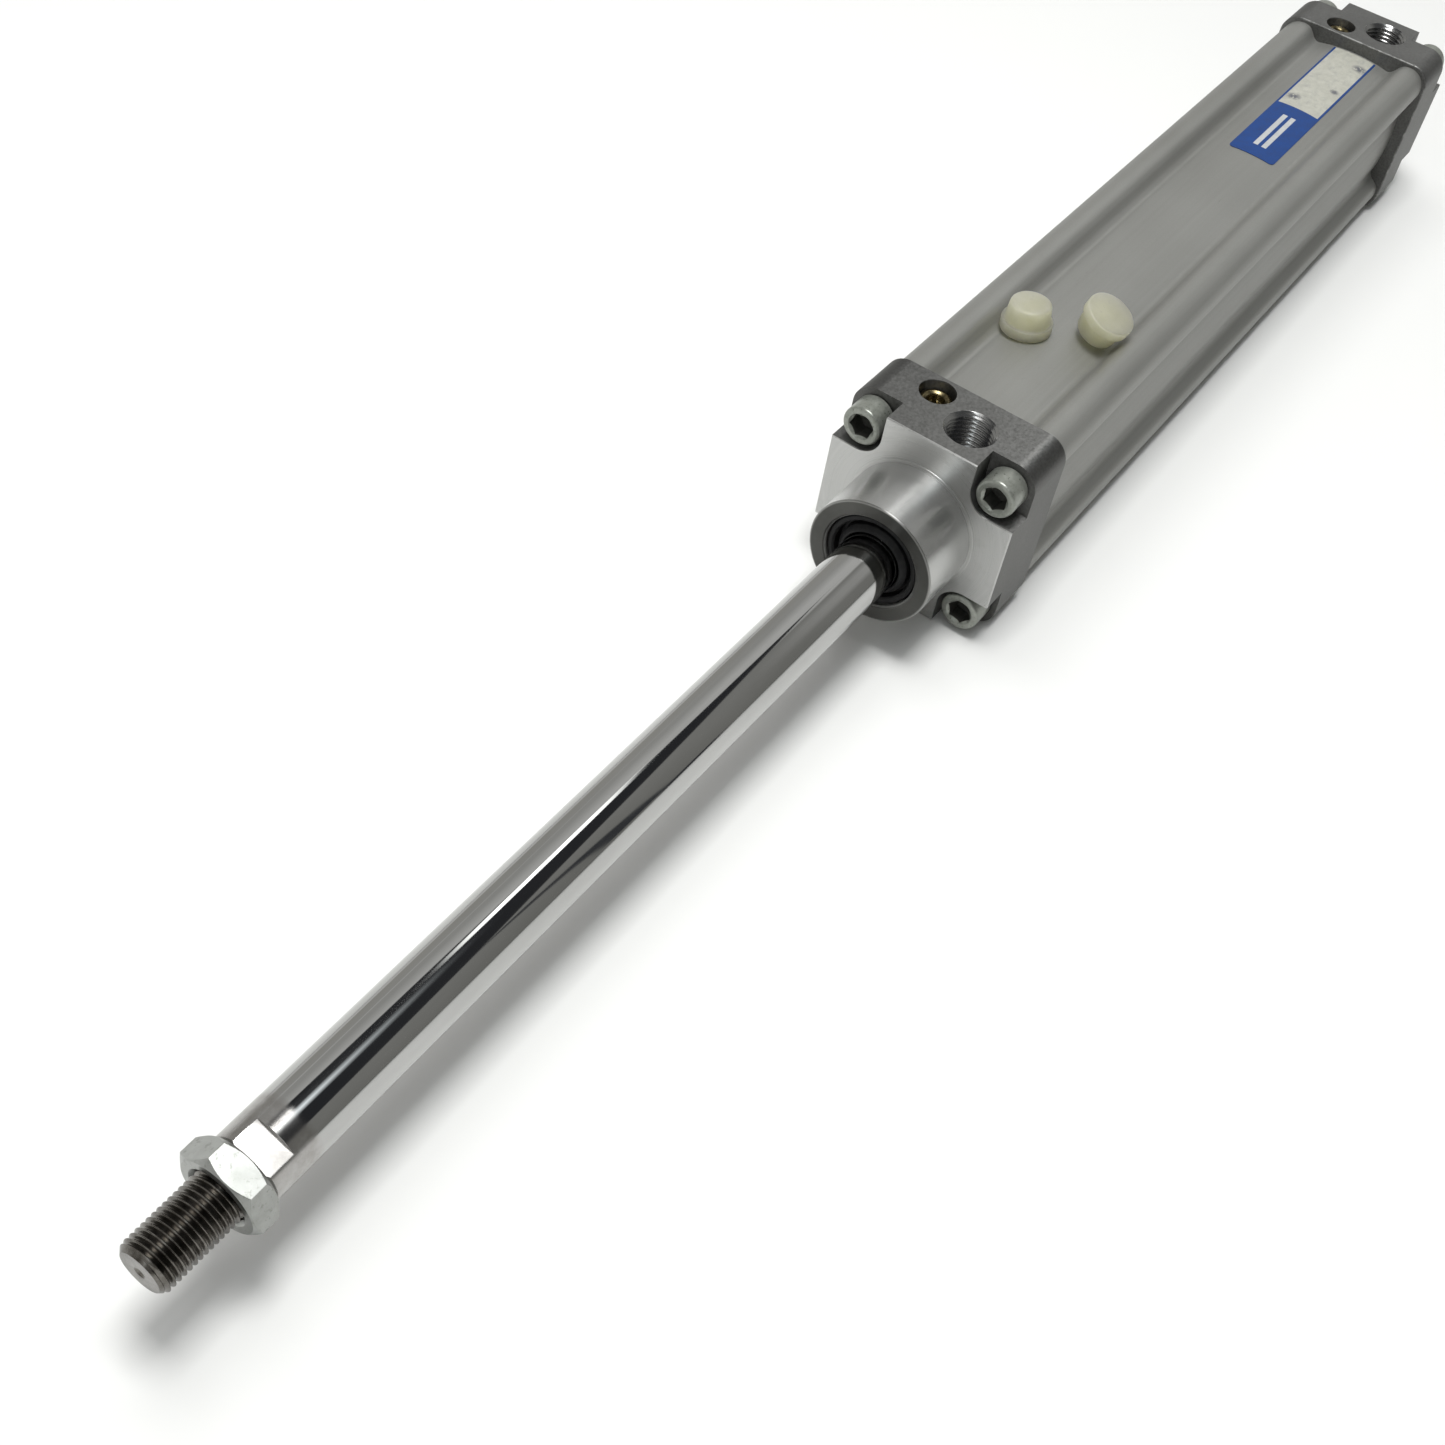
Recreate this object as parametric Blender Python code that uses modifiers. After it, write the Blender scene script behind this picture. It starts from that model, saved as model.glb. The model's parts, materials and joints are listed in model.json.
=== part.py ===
"""Double-acting pneumatic cylinder, 40 mm bore and 200 mm stroke, rod out.

Metres. The rod points along +X, the ports look up along +Z, and the caps stand on z = 0.
Stations along the axis are counted from the front cap's outer face, positive towards the rod tip.
"""

import math

import bmesh
import bpy
from mathutils import Matrix, Vector

MM = 0.001

# Where the cylinder stands in the part's frame
CAP_FACE_X = 26.25 * MM
AXIS_HEIGHT = 26.5 * MM

# Body
CAP_HALF_WIDTH = 26.5 * MM
CAP_CORNER_RADIUS = 6.5 * MM
CAP_LENGTH = 24.2 * MM
BODY_LENGTH = 305.0 * MM
NECK_RADIUS = 17.45 * MM
NECK_LENGTH = 19.7 * MM
REAR_SPIGOT_LENGTH = 4.0 * MM
BORE_RADIUS = 20.0 * MM
CAP_SPIGOT_RADIUS = 19.7 * MM
CAP_SPIGOT_LENGTH = 12.0 * MM
CHAMBER_RADIUS = 11.5 * MM
JOINT_GAP = 0.3 * MM

# Barrel outline, one eighth of it, from the middle of a side to the corner
MIDDLE_HEIGHT = 22.5 * MM
MIDDLE_ARC_RADIUS = 58.0 * MM
MIDDLE_HALF_WIDTH = 11.2 * MM
LOBE_RADIUS = 6.0 * MM
LOBE_OFFSET = 19.3 * MM

# Cap screws
SCREW_OFFSET = 19.45 * MM
SCREW_HEAD_RADIUS = 5.4 * MM
SCREW_SHANK_RADIUS = 3.0 * MM
SCREW_HOLE_RADIUS = 3.3 * MM
SCREW_SOCKET_WIDTH = 6.0 * MM
POCKET_DEPTH = 7.85 * MM
POCKET_MARGIN = 6.5 * MM

# Port and cushion screw, measured from each cap's outer face
PORT_STATION = 11.2 * MM
PORT_OFFSET = 4.7 * MM
PORT_RADIUS = 6.2 * MM
PORT_FLOOR = 14.5 * MM
CUSHION_STATION = 17.9 * MM
CUSHION_OFFSET = -8.9 * MM
CUSHION_HOLE_RADIUS = 4.8 * MM

# Rod
ROD_RADIUS = 8.0 * MM
ROD_THREAD_RADIUS = 6.0 * MM
ROD_TIP = 256.5 * MM
ROD_SHOULDER = 232.0 * MM
ROD_FLAT_HALF = 6.5 * MM
ROD_FLAT_LENGTH = 6.3 * MM
ROD_SPIGOT_RADIUS = 5.0 * MM
ROD_ANGLE = math.radians(17.9)
NUT_ACROSS_FLATS = 18.0 * MM
NUT_THICKNESS = 6.3 * MM

# Piston group
PISTON_FRONT = -36.5 * MM
PISTON_LENGTH = 32.0 * MM
PISTON_RADIUS = 19.6 * MM
SEAL_RADIUS = 19.75 * MM
CUSHION_SLEEVE_RADIUS = 9.6 * MM

# Loose pieces
PLUG_FLANGE_RADIUS = 7.0 * MM
PLUG_FLANGE_THICKNESS = 3.0 * MM
PLUG_STEM_RADIUS = 6.2 * MM
PLUG_STEM_END_RADIUS = 5.5 * MM
PLUG_HEIGHT = 8.2 * MM
LABEL_FRONT = -193.0 * MM
LABEL_REAR = -279.6 * MM
LABEL_EDGES = (-6.6 * MM, 8.5 * MM)
LABEL_GAP = 0.15 * MM
LABEL_THICKNESS = 0.3 * MM

WIDE_STEPS = 48
ROD_STEPS = 32
INNER_STEPS = 24
SMALL_STEPS = 16
HEXAGON_STEPS = 6
SHARP_ANGLE = math.radians(40)

MATERIALS = {
    "anodised_aluminium": ((0.46, 0.46, 0.44), 0.55, 0.6),
    "cast_aluminium": ((0.50, 0.50, 0.51), 0.42, 0.9),
    "chromed_steel": ((0.78, 0.78, 0.79), 0.08, 1.0),
    "zinc_plated_steel": ((0.60, 0.62, 0.58), 0.35, 1.0),
    "plain_steel": ((0.45, 0.45, 0.46), 0.40, 1.0),
    "turned_aluminium": ((0.72, 0.73, 0.75), 0.30, 1.0),
    "brass": ((0.55, 0.42, 0.20), 0.35, 1.0),
    "bronze": ((0.50, 0.36, 0.20), 0.45, 1.0),
    "black_rubber": ((0.03, 0.03, 0.03), 0.60, 0.0),
    "white_bearing_plastic": ((0.80, 0.78, 0.72), 0.50, 0.0),
    "ferrite": ((0.10, 0.10, 0.11), 0.70, 0.2),
    "label_vinyl": ((0.06, 0.15, 0.50), 0.40, 0.0),
    "natural_polyethylene": ((0.82, 0.83, 0.70), 0.45, 0.0),
}


def clear_scene():
    for obj in list(bpy.data.objects):
        bpy.data.objects.remove(obj, do_unlink=True)


def new_collection(name):
    collection = bpy.data.collections.new(name)
    bpy.context.scene.collection.children.link(collection)
    return collection


def make_material(name):
    colour, roughness, metallic = MATERIALS[name]
    material = bpy.data.materials.new(name)
    material.use_nodes = True
    shader = material.node_tree.nodes["Principled BSDF"]
    shader.inputs["Base Color"].default_value = (*colour, 1.0)
    shader.inputs["Roughness"].default_value = roughness
    shader.inputs["Metallic"].default_value = metallic
    return material


def add_object(name, mesh, material=None):
    """A visible part where a material is named, and otherwise a cutter."""
    obj = bpy.data.objects.new(name, mesh)
    if material:
        mesh.materials.append(make_material(material))
        parts.objects.link(obj)
    else:
        cutters.objects.link(obj)
        obj.hide_render = True
        obj.display_type = "WIRE"
    return obj


def on_axis(obj, y=0.0, z=0.0, turn=0.0):
    """Lays a shape made about Z along the cylinder's axis, or beside it, turned about its own axis."""
    place = Matrix.Translation((CAP_FACE_X, y, AXIS_HEIGHT + z))
    lie_down = Matrix.Rotation(math.radians(90), 4, "Y")
    obj.matrix_world = place @ Matrix.Rotation(turn, 4, "X") @ lie_down
    return obj


def face_of(end):
    """Where a cap's outer face stands along the cylinder."""
    return CAP_FACE_X if end == "front" else CAP_FACE_X - BODY_LENGTH


def outward(end):
    """The way a cap's outer face looks along the cylinder."""
    return 1 if end == "front" else -1


def new_mesh(name, shape):
    """Turns a bmesh into a mesh and frees it."""
    mesh = bpy.data.meshes.new(name)
    shape.to_mesh(mesh)
    shape.free()
    return mesh


def cylinder(name, radius, ends, steps, material=None):
    """A closed cylinder about Z between two heights. Six steps make a hexagonal bar."""
    low, high = sorted(ends)
    shape = bmesh.new()
    bmesh.ops.create_cone(
        shape, cap_ends=True, segments=steps, radius1=radius, radius2=radius, depth=high - low
    )
    bmesh.ops.translate(shape, verts=shape.verts, vec=(0.0, 0.0, (low + high) / 2))
    return add_object(name, new_mesh(name, shape), material)


def hexagon(name, across_flats, ends, material=None):
    corner = across_flats / 2 / math.cos(math.radians(30))
    return cylinder(name, corner, ends, HEXAGON_STEPS, material)


def box(name, low_corner, high_corner):
    """A rectangular cutter between two opposite corners."""
    low, high = Vector(low_corner), Vector(high_corner)
    shape = bmesh.new()
    bmesh.ops.create_cube(shape, size=1.0)
    bmesh.ops.scale(shape, verts=shape.verts, vec=high - low)
    bmesh.ops.translate(shape, verts=shape.verts, vec=(low + high) / 2)
    return add_object(name, new_mesh(name, shape))


def turned(name, profile, steps, material=None, mirrored=False, closed=False):
    """Turns (radius, station) points about Z. The profile runs towards lower stations on its outer side."""
    points = [(radius * MM, station * MM) for radius, station in profile]
    if mirrored:
        points = [(radius, -station) for radius, station in reversed(points)]
    mesh = bpy.data.meshes.new(name)
    edges = [(i, i + 1) for i in range(len(points) - 1)]
    if closed:
        edges.append((len(points) - 1, 0))
    mesh.from_pydata([(radius, 0.0, station) for radius, station in points], edges, [])
    obj = add_object(name, mesh, material)
    screw = obj.modifiers.new("turn", "SCREW")
    screw.axis = "Z"
    screw.angle = math.tau
    screw.steps = steps
    screw.render_steps = steps
    screw.use_merge_vertices = True
    screw.merge_threshold = 0.00001
    screw.use_smooth_shade = False
    return obj


def ring(name, inner, outer, front, rear, steps, material, edge=0.2):
    """A plain turned ring with chamfered outer edges, in millimetres."""
    profile = (
        (inner, front),
        (outer - edge, front),
        (outer, front - edge),
        (outer, rear + edge),
        (outer - edge, rear),
        (inner, rear),
    )
    return on_axis(turned(name, profile, steps, material, closed=True))


def prism(name, outline, low, high, material=None):
    """Extrudes a counter-clockwise (y, z) outline from x = low to x = high."""
    shape = bmesh.new()
    corners = [shape.verts.new((low, y, z)) for y, z in outline]
    base = shape.faces.new(corners)
    extruded = bmesh.ops.extrude_face_region(shape, geom=[base])
    moved = [item for item in extruded["geom"] if isinstance(item, bmesh.types.BMVert)]
    bmesh.ops.translate(shape, verts=moved, vec=(high - low, 0.0, 0.0))
    bmesh.ops.recalc_face_normals(shape, faces=shape.faces)
    return add_object(name, new_mesh(name, shape), material)


def combine(target, tool, operation):
    """Adds an exact Boolean of the tool to the target."""
    boolean = target.modifiers.new(tool.name, "BOOLEAN")
    boolean.operation = operation
    boolean.solver = "EXACT"
    boolean.object = tool


def arc(centre, radius, start, end, count):
    """Points on a circle from one angle to another, in degrees, both ends included."""
    angles = [math.radians(start + (end - start) * i / count) for i in range(count + 1)]
    return [(centre[0] + radius * math.cos(a), centre[1] + radius * math.sin(a)) for a in angles]


def rounded_square(half, radius):
    inner = half - radius
    centres = ((inner, inner), (-inner, inner), (-inner, -inner), (inner, -inner))
    points = []
    for turn, centre in enumerate(centres):
        points += arc(centre, radius, 90 * turn, 90 * turn + 90, 8)
    return points


def barrel_outline():
    """The whole outline, counter-clockwise, from one eighth turned and mirrored."""
    middle = []
    for step in range(4):
        across = MIDDLE_HALF_WIDTH * step / 3
        sag = MIDDLE_ARC_RADIUS - math.sqrt(MIDDLE_ARC_RADIUS**2 - across**2)
        middle.append((across, MIDDLE_HEIGHT - sag))
    valley = [
        (12.3 * MM, 21.15 * MM),
        (13.2 * MM, 21.25 * MM),
        (14.3 * MM, 21.95 * MM),
        (15.2 * MM, 23.0 * MM),
        (16.1 * MM, 24.1 * MM),
    ]
    lobe = arc((LOBE_OFFSET, LOBE_OFFSET), LOBE_RADIUS, 110, 45, 4)
    eighth = middle + valley + lobe
    quarter = eighth + [(z, y) for y, z in reversed(eighth[1:-1])]
    points = []
    for turn in range(4):
        cosine, sine = math.cos(-math.pi / 2 * turn), math.sin(-math.pi / 2 * turn)
        points += [(y * cosine - z * sine, y * sine + z * cosine) for y, z in quarter]
    return list(reversed(points))


def cap_interior(end):
    """The turned hollow of a cap: bearing, seal and wiper seats in front, a blind chamber behind."""
    mouth = -(CAP_LENGTH + CAP_SPIGOT_LENGTH) / MM
    chamber = [
        (CHAMBER_RADIUS / MM, -28.9),
        (12.5, -28.9),
        (12.5, -34.1),
        (CHAMBER_RADIUS / MM, -34.1),
        (CHAMBER_RADIUS / MM, mouth - 1),
        (0, mouth - 1),
    ]
    if end == "rear":
        return [(0, -13.5), (CHAMBER_RADIUS / MM, -13.5)] + chamber
    seats = [
        (0, NECK_LENGTH / MM + 1),
        (13.0, NECK_LENGTH / MM + 1),
        (13.0, 13.5),
        (10.3, 13.5),
        (10.3, -12.5),
        (CHAMBER_RADIUS / MM, -12.5),
    ]
    return seats + chamber


def cap_holes(end):
    """The upright holes through a cap's top, as cutters: port, channel and the cushion screw's seat."""
    top = CAP_HALF_WIDTH + 1 * MM
    port = (PORT_STATION, PORT_OFFSET)
    cushion = (CUSHION_STATION, CUSHION_OFFSET)
    holes = (
        ("port", PORT_RADIUS, port, (PORT_FLOOR, top), INNER_STEPS),
        ("port_channel", 2.4 * MM, (14.4 * MM, 3.4 * MM), (6 * MM, 16 * MM), SMALL_STEPS),
        ("cushion_head", CUSHION_HOLE_RADIUS, cushion, (19.9 * MM, top), INNER_STEPS),
        ("cushion_bore", 3 * MM, cushion, (11.8 * MM, 21 * MM), SMALL_STEPS),
        ("cushion_passage", 1.3 * MM, cushion, (5 * MM, 13 * MM), SMALL_STEPS),
    )
    cutter_list = []
    for name, radius, (inward, y), heights, steps in holes:
        cutter = cylinder(f"{end}_{name}_cutter", radius, heights, steps)
        cutter.location = (face_of(end) - outward(end) * inward, y, AXIS_HEIGHT)
        cutter_list.append(cutter)
    return cutter_list


def make_cap(end):
    """A cap with its spigot, pockets, screw holes, port and cushion passage."""
    face = face_of(end)
    inner = face - outward(end) * CAP_LENGTH
    outline = [(y, z + AXIS_HEIGHT) for y, z in rounded_square(CAP_HALF_WIDTH, CAP_CORNER_RADIUS)]
    cap = prism(end + "_cap", outline, min(face, inner), max(face, inner), "cast_aluminium")

    nose_length = (NECK_LENGTH if end == "front" else REAR_SPIGOT_LENGTH) / MM
    nose_radius = NECK_RADIUS / MM
    spigot_radius = CAP_SPIGOT_RADIUS / MM
    core = (
        (0, nose_length),
        (nose_radius - 0.5, nose_length),
        (nose_radius, nose_length - 0.5),
        (nose_radius, -12),
        (spigot_radius, -12),
        (spigot_radius, -25.3),
        (17.8, -25.3),
        (17.8, -28.1),
        (spigot_radius, -28.1),
        (spigot_radius, -35.7),
        (spigot_radius - 0.5, -36.2),
        (0, -36.2),
    )
    mirrored = end == "rear"
    nose = turned(end + "_core", core, WIDE_STEPS, mirrored=mirrored)
    hollow = turned(end + "_hollow", cap_interior(end), WIDE_STEPS, mirrored=mirrored)
    for tool in (nose, hollow):
        on_axis(tool)
        tool.location.x = face
    combine(cap, nose, "UNION")

    for number, (y, z) in enumerate(screw_places(), start=1):
        depth = (outward(end) * MM, -26 * outward(end) * MM)
        hole = cylinder(f"{end}_screw_hole_{number}", SCREW_HOLE_RADIUS, depth, SMALL_STEPS)
        on_axis(hole, y, z)
        hole.location.x = face
        combine(cap, hole, "DIFFERENCE")
        combine(cap, pocket_cutter(end, number, y, z), "DIFFERENCE")

    combine(cap, hollow, "DIFFERENCE")
    for cutter in cap_holes(end):
        combine(cap, cutter, "DIFFERENCE")


def pocket_cutter(end, number, y, z):
    """A corner pocket, round about the screw and open to both outer sides."""
    mouth = face_of(end) + outward(end) * MM
    floor = face_of(end) - outward(end) * POCKET_DEPTH
    right, up = math.copysign(1, y), math.copysign(1, z)
    outside = CAP_HALF_WIDTH + 5 * MM - SCREW_OFFSET
    quarter = arc((0, 0), POCKET_MARGIN, 180, 270, 8)
    local = quarter + [(outside, -POCKET_MARGIN), (outside, outside), (-POCKET_MARGIN, outside)]
    outline = [(y + right * a, AXIS_HEIGHT + z + up * b) for a, b in local]
    if right * up < 0:
        outline.reverse()
    return prism(f"{end}_pocket_{number}", outline, min(mouth, floor), max(mouth, floor))


def screw_places():
    """The four screws' (y, z) from the cylinder's axis."""
    corners = ((-1, 1), (1, 1), (1, -1), (-1, -1))
    return [(y * SCREW_OFFSET, z * SCREW_OFFSET) for y, z in corners]


def make_cap_screw(end, number, y, z):
    """Socket head cap screw, its head in the cap's pocket and its shank in the barrel's channel."""
    head = SCREW_HEAD_RADIUS / MM
    shank = SCREW_SHANK_RADIUS / MM
    profile = (
        (0, -0.5),
        (head - 0.5, -0.5),
        (head, -1.0),
        (head, -7.55),
        (shank, -7.55),
        (shank, -42.0),
        (shank - 0.6, -42.6),
        (0, -42.6),
    )
    name = f"{end}_cap_screw_{number}"
    screw = turned(name, profile, SMALL_STEPS, "zinc_plated_steel", mirrored=end == "rear")
    depth = (outward(end) * 0.5 * MM, -4.5 * outward(end) * MM)
    socket = hexagon(name + "_socket", SCREW_SOCKET_WIDTH, depth)
    for shape in (screw, socket):
        on_axis(shape, y, z)
        shape.location.x = face_of(end)
    combine(screw, socket, "DIFFERENCE")


def make_barrel():
    front = CAP_FACE_X - CAP_LENGTH - JOINT_GAP
    rear = CAP_FACE_X - BODY_LENGTH + CAP_LENGTH + JOINT_GAP
    outline = [(y, z + AXIS_HEIGHT) for y, z in barrel_outline()]
    barrel = prism("barrel", outline, rear, front, "anodised_aluminium")
    through = (0, -BODY_LENGTH)
    bore = on_axis(cylinder("barrel_bore", BORE_RADIUS, through, WIDE_STEPS))
    combine(barrel, bore, "DIFFERENCE")
    for number, (y, z) in enumerate(screw_places(), start=1):
        channel = cylinder(f"barrel_channel_{number}", SCREW_HOLE_RADIUS, through, SMALL_STEPS)
        combine(barrel, on_axis(channel, y, z), "DIFFERENCE")


def make_seals():
    """Fixed rings of both caps."""
    ring("rod_bearing", 8.15, 10.0, 8.2, -12.2, INNER_STEPS, "bronze")
    ring("rod_seal", 8.2, 10.0, 13.2, 8.5, INNER_STEPS, "black_rubber")
    wiper = (
        (8.25, 18.3),
        (8.9, 19.1),
        (9.7, 18.2),
        (9.7, 16.2),
        (11.0, 16.2),
        (11.0, 18.4),
        (12.4, 18.4),
        (12.7, 18.1),
        (12.7, 13.8),
        (8.9, 13.8),
        (8.9, 17.0),
    )
    on_axis(turned("rod_wiper", wiper, ROD_STEPS, "black_rubber", closed=True))
    seal = SEAL_RADIUS / MM
    length = BODY_LENGTH / MM
    rings = (
        ("barrel_seal", 18.1, seal, 25.6, 27.8, 0.5),
        ("cushion_seal", 9.9, 12.2, 29.2, 33.8, 0.4),
    )
    for name, inner, outer, near, far, edge in rings:
        ring("front_" + name, inner, outer, -near, -far, INNER_STEPS, "black_rubber", edge)
        ring("rear_" + name, inner, outer, far - length, near - length, INNER_STEPS, "black_rubber", edge)


def make_cushion_screw(end):
    """Slotted brass needle screw and the O-ring in its groove."""
    station = face_of(end) - outward(end) * CUSHION_STATION
    place = Vector((station, CUSHION_OFFSET, AXIS_HEIGHT))
    profile = (
        (0, 23.3),
        (4.1, 23.3),
        (4.5, 22.9),
        (4.5, 20.2),
        (2.75, 20.2),
        (2.75, 17.4),
        (1.9, 17.4),
        (1.9, 15.2),
        (2.75, 15.2),
        (2.75, 14.2),
        (0.7, 11.6),
        (0, 11.6),
    )
    screw = turned(end + "_cushion_screw", profile, SMALL_STEPS, "brass")
    screw.location = place
    low_corner = (-6 * MM, -0.6 * MM, 21.9 * MM)
    high_corner = (6 * MM, 0.6 * MM, 24 * MM)
    slot = box(end + "_cushion_slot", low_corner, high_corner)
    slot.matrix_world = Matrix.Translation(place) @ Matrix.Rotation(math.radians(35), 4, "Z")
    combine(screw, slot, "DIFFERENCE")
    o_ring = ((2.1, 17.1), (2.65, 17.1), (2.85, 16.7), (2.85, 15.9), (2.65, 15.5), (2.1, 15.5))
    seal = turned(end + "_cushion_screw_seal", o_ring, SMALL_STEPS, "black_rubber", closed=True)
    seal.location = place


def make_rod():
    profile = (
        (0, ROD_TIP / MM),
        (4.9, ROD_TIP / MM),
        (6.0, ROD_TIP / MM - 1.1),
        (6.0, ROD_SHOULDER / MM),
        (7.5, ROD_SHOULDER / MM),
        (8.0, ROD_SHOULDER / MM - 0.5),
        (8.0, -36.2),
        (5.0, -36.2),
        (5.0, -83.4),
        (4.4, -84.0),
        (0, -84.0),
    )
    rod = on_axis(turned("piston_rod", profile, ROD_STEPS, "chromed_steel"))
    for number, way in enumerate((1, -1), start=1):
        near, far = sorted((way * ROD_FLAT_HALF, way * 12 * MM))
        low_corner = (near, -12 * MM, ROD_SHOULDER - ROD_FLAT_LENGTH)
        high_corner = (far, 12 * MM, ROD_SHOULDER + 1 * MM)
        flat = box(f"rod_flat_cutter_{number}", low_corner, high_corner)
        combine(rod, on_axis(flat, turn=-ROD_ANGLE), "DIFFERENCE")


def make_rod_nut():
    """Thin hexagon nut, its corners turned off by a cone at both ends."""
    rear = ROD_SHOULDER + JOINT_GAP
    front = rear + NUT_THICKNESS
    nut = hexagon("rod_nut", NUT_ACROSS_FLATS, (rear, front), "zinc_plated_steel")
    on_axis(nut, turn=-ROD_ANGLE)
    rear, front = rear / MM, front / MM
    flank = 2.4 * math.tan(math.radians(28))
    cone = (
        (6.9, front + 0.1),
        (8.6, front + 0.1),
        (11.0, front - flank),
        (11.0, rear + flank),
        (8.6, rear - 0.1),
        (6.9, rear - 0.1),
        (6.2, rear + 0.7),
        (6.2, front - 0.7),
    )
    turning = turned("rod_nut_turning", cone, ROD_STEPS, closed=True)
    combine(nut, on_axis(turning), "INTERSECT")


def make_piston():
    front_half = (
        (5.3, -36.5),
        (19.2, -36.5),
        (19.6, -36.9),
        (19.6, -38.5),
        (15.5, -38.5),
        (15.5, -43.5),
        (19.6, -43.5),
        (19.6, -48.0),
        (5.3, -48.0),
    )
    rear_half = (
        (5.3, -48.3),
        (14.0, -48.3),
        (14.0, -56.7),
        (19.6, -56.7),
        (19.6, -61.5),
        (15.5, -61.5),
        (15.5, -66.5),
        (19.6, -66.5),
        (19.6, -68.1),
        (19.2, -68.5),
        (5.3, -68.5),
    )
    on_axis(turned("front_piston_half", front_half, INNER_STEPS, "turned_aluminium", closed=True))
    on_axis(turned("rear_piston_half", rear_half, INNER_STEPS, "turned_aluminium", closed=True))
    ring("magnet_ring", 14.3, 17.3, -48.6, -56.4, INNER_STEPS, "ferrite")
    ring("guide_ring", 17.6, SEAL_RADIUS / MM, -48.6, -56.4, INNER_STEPS, "white_bearing_plastic")
    lip = ((15.8, 4.4), (16.8, 4.4), (17.4, 2.6), (18.4, 4.4), (19.75, 4.1), (19.3, 0.0), (15.8, 0.0))
    for end, groove in (("front", -43.2 * MM), ("rear", -61.8 * MM)):
        name = end + "_piston_seal"
        seal = turned(name, lip, INNER_STEPS, "black_rubber", mirrored=end == "rear", closed=True)
        on_axis(seal)
        seal.location.x += groove
    sleeve = CUSHION_SLEEVE_RADIUS / MM
    ring("front_cushion_sleeve", 8.3, sleeve, -20.5, -35.9, INNER_STEPS, "turned_aluminium", 0.6)
    rear_sleeve = (
        (5.3, -68.8),
        (sleeve, -68.8),
        (sleeve, -84.2),
        (sleeve - 0.6, -84.8),
        (7.9, -84.8),
        (7.9, -76.0),
        (5.3, -76.0),
    )
    on_axis(turned("rear_cushion_sleeve", rear_sleeve, INNER_STEPS, "turned_aluminium", closed=True))
    nut = on_axis(hexagon("piston_nut", 13 * MM, (-82.5 * MM, -76.3 * MM), "plain_steel"))
    bore = on_axis(cylinder("piston_nut_bore", 5.3 * MM, (-84 * MM, -75 * MM), INNER_STEPS))
    combine(nut, bore, "DIFFERENCE")


def make_label():
    """Name label, bent to the barrel's upper face."""
    centre = AXIS_HEIGHT + MIDDLE_HEIGHT - MIDDLE_ARC_RADIUS
    inner = MIDDLE_ARC_RADIUS + LABEL_GAP
    edges = [math.degrees(math.asin(edge / inner)) for edge in LABEL_EDGES]
    start, end = 90 - edges[1], 90 - edges[0]
    upper = arc((0, centre), inner + LABEL_THICKNESS, start, end, 8)
    lower = arc((0, centre), inner, end, start, 8)
    rear, front = CAP_FACE_X + LABEL_REAR, CAP_FACE_X + LABEL_FRONT
    prism("name_label", upper + lower, rear, front, "label_vinyl")


def make_plug(name, foot, tilt, flange_down):
    """Stepped plastic plug, tilted about X, that stands on its flange or on the end of its stem."""
    height = PLUG_HEIGHT / MM
    flange = PLUG_FLANGE_RADIUS / MM
    step = PLUG_FLANGE_THICKNESS / MM
    stem = PLUG_STEM_RADIUS / MM
    tip = PLUG_STEM_END_RADIUS / MM
    profile = [
        (0, height),
        (tip - 0.7, height),
        (tip, height - 0.7),
        (stem, step),
        (flange - 0.2, step),
        (flange, step - 0.3),
        (flange, 0.3),
        (flange - 0.3, 0),
        (0, 0),
    ]
    if not flange_down:
        profile = [(radius, height - station) for radius, station in reversed(profile)]
    plug = turned(name, profile, INNER_STEPS, "natural_polyethylene")
    plug.matrix_world = Matrix.Translation(foot) @ Matrix.Rotation(tilt, 4, "X")


def shade_parts():
    """Turns each part's modifiers into its mesh, smooth where faces meet at a shallow angle."""
    graph = bpy.context.evaluated_depsgraph_get()
    finished = [(obj, bpy.data.meshes.new_from_object(obj.evaluated_get(graph))) for obj in parts.objects]
    for obj, mesh in finished:
        obj.modifiers.clear()
        obj.data = mesh
        mesh.shade_smooth()
        mesh.set_sharp_from_angle(angle=SHARP_ANGLE)


clear_scene()
parts = new_collection("pneumatic_cylinder")
cutters = new_collection("cutters")
cutters.hide_render = True

make_barrel()
make_cap("front")
make_cap("rear")
for cap_end in ("front", "rear"):
    for screw_number, (screw_y, screw_z) in enumerate(screw_places(), start=1):
        make_cap_screw(cap_end, screw_number, screw_y, screw_z)
    make_cushion_screw(cap_end)
make_seals()
make_rod()
make_rod_nut()
make_piston()
make_label()
make_plug(
    "standing_port_plug",
    foot=(CAP_FACE_X - 63.0 * MM, -7.4 * MM, AXIS_HEIGHT + 22.6 * MM),
    tilt=math.radians(2.0),
    flange_down=True,
)
make_plug(
    "leaning_port_plug",
    foot=(CAP_FACE_X - 73.4 * MM, 7.9 * MM, AXIS_HEIGHT + 23.8 * MM),
    tilt=math.radians(-20.7),
    flange_down=False,
)
shade_parts()
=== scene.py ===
"""Looks of the pneumatic cylinder: detailed pieces over the CAD frame, procedural materials,
floor, light and camera. Lengths are in millimetres, unless they are said to be in metres."""

import json
import math

import bmesh
import bpy
from mathutils import Matrix, Vector


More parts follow.
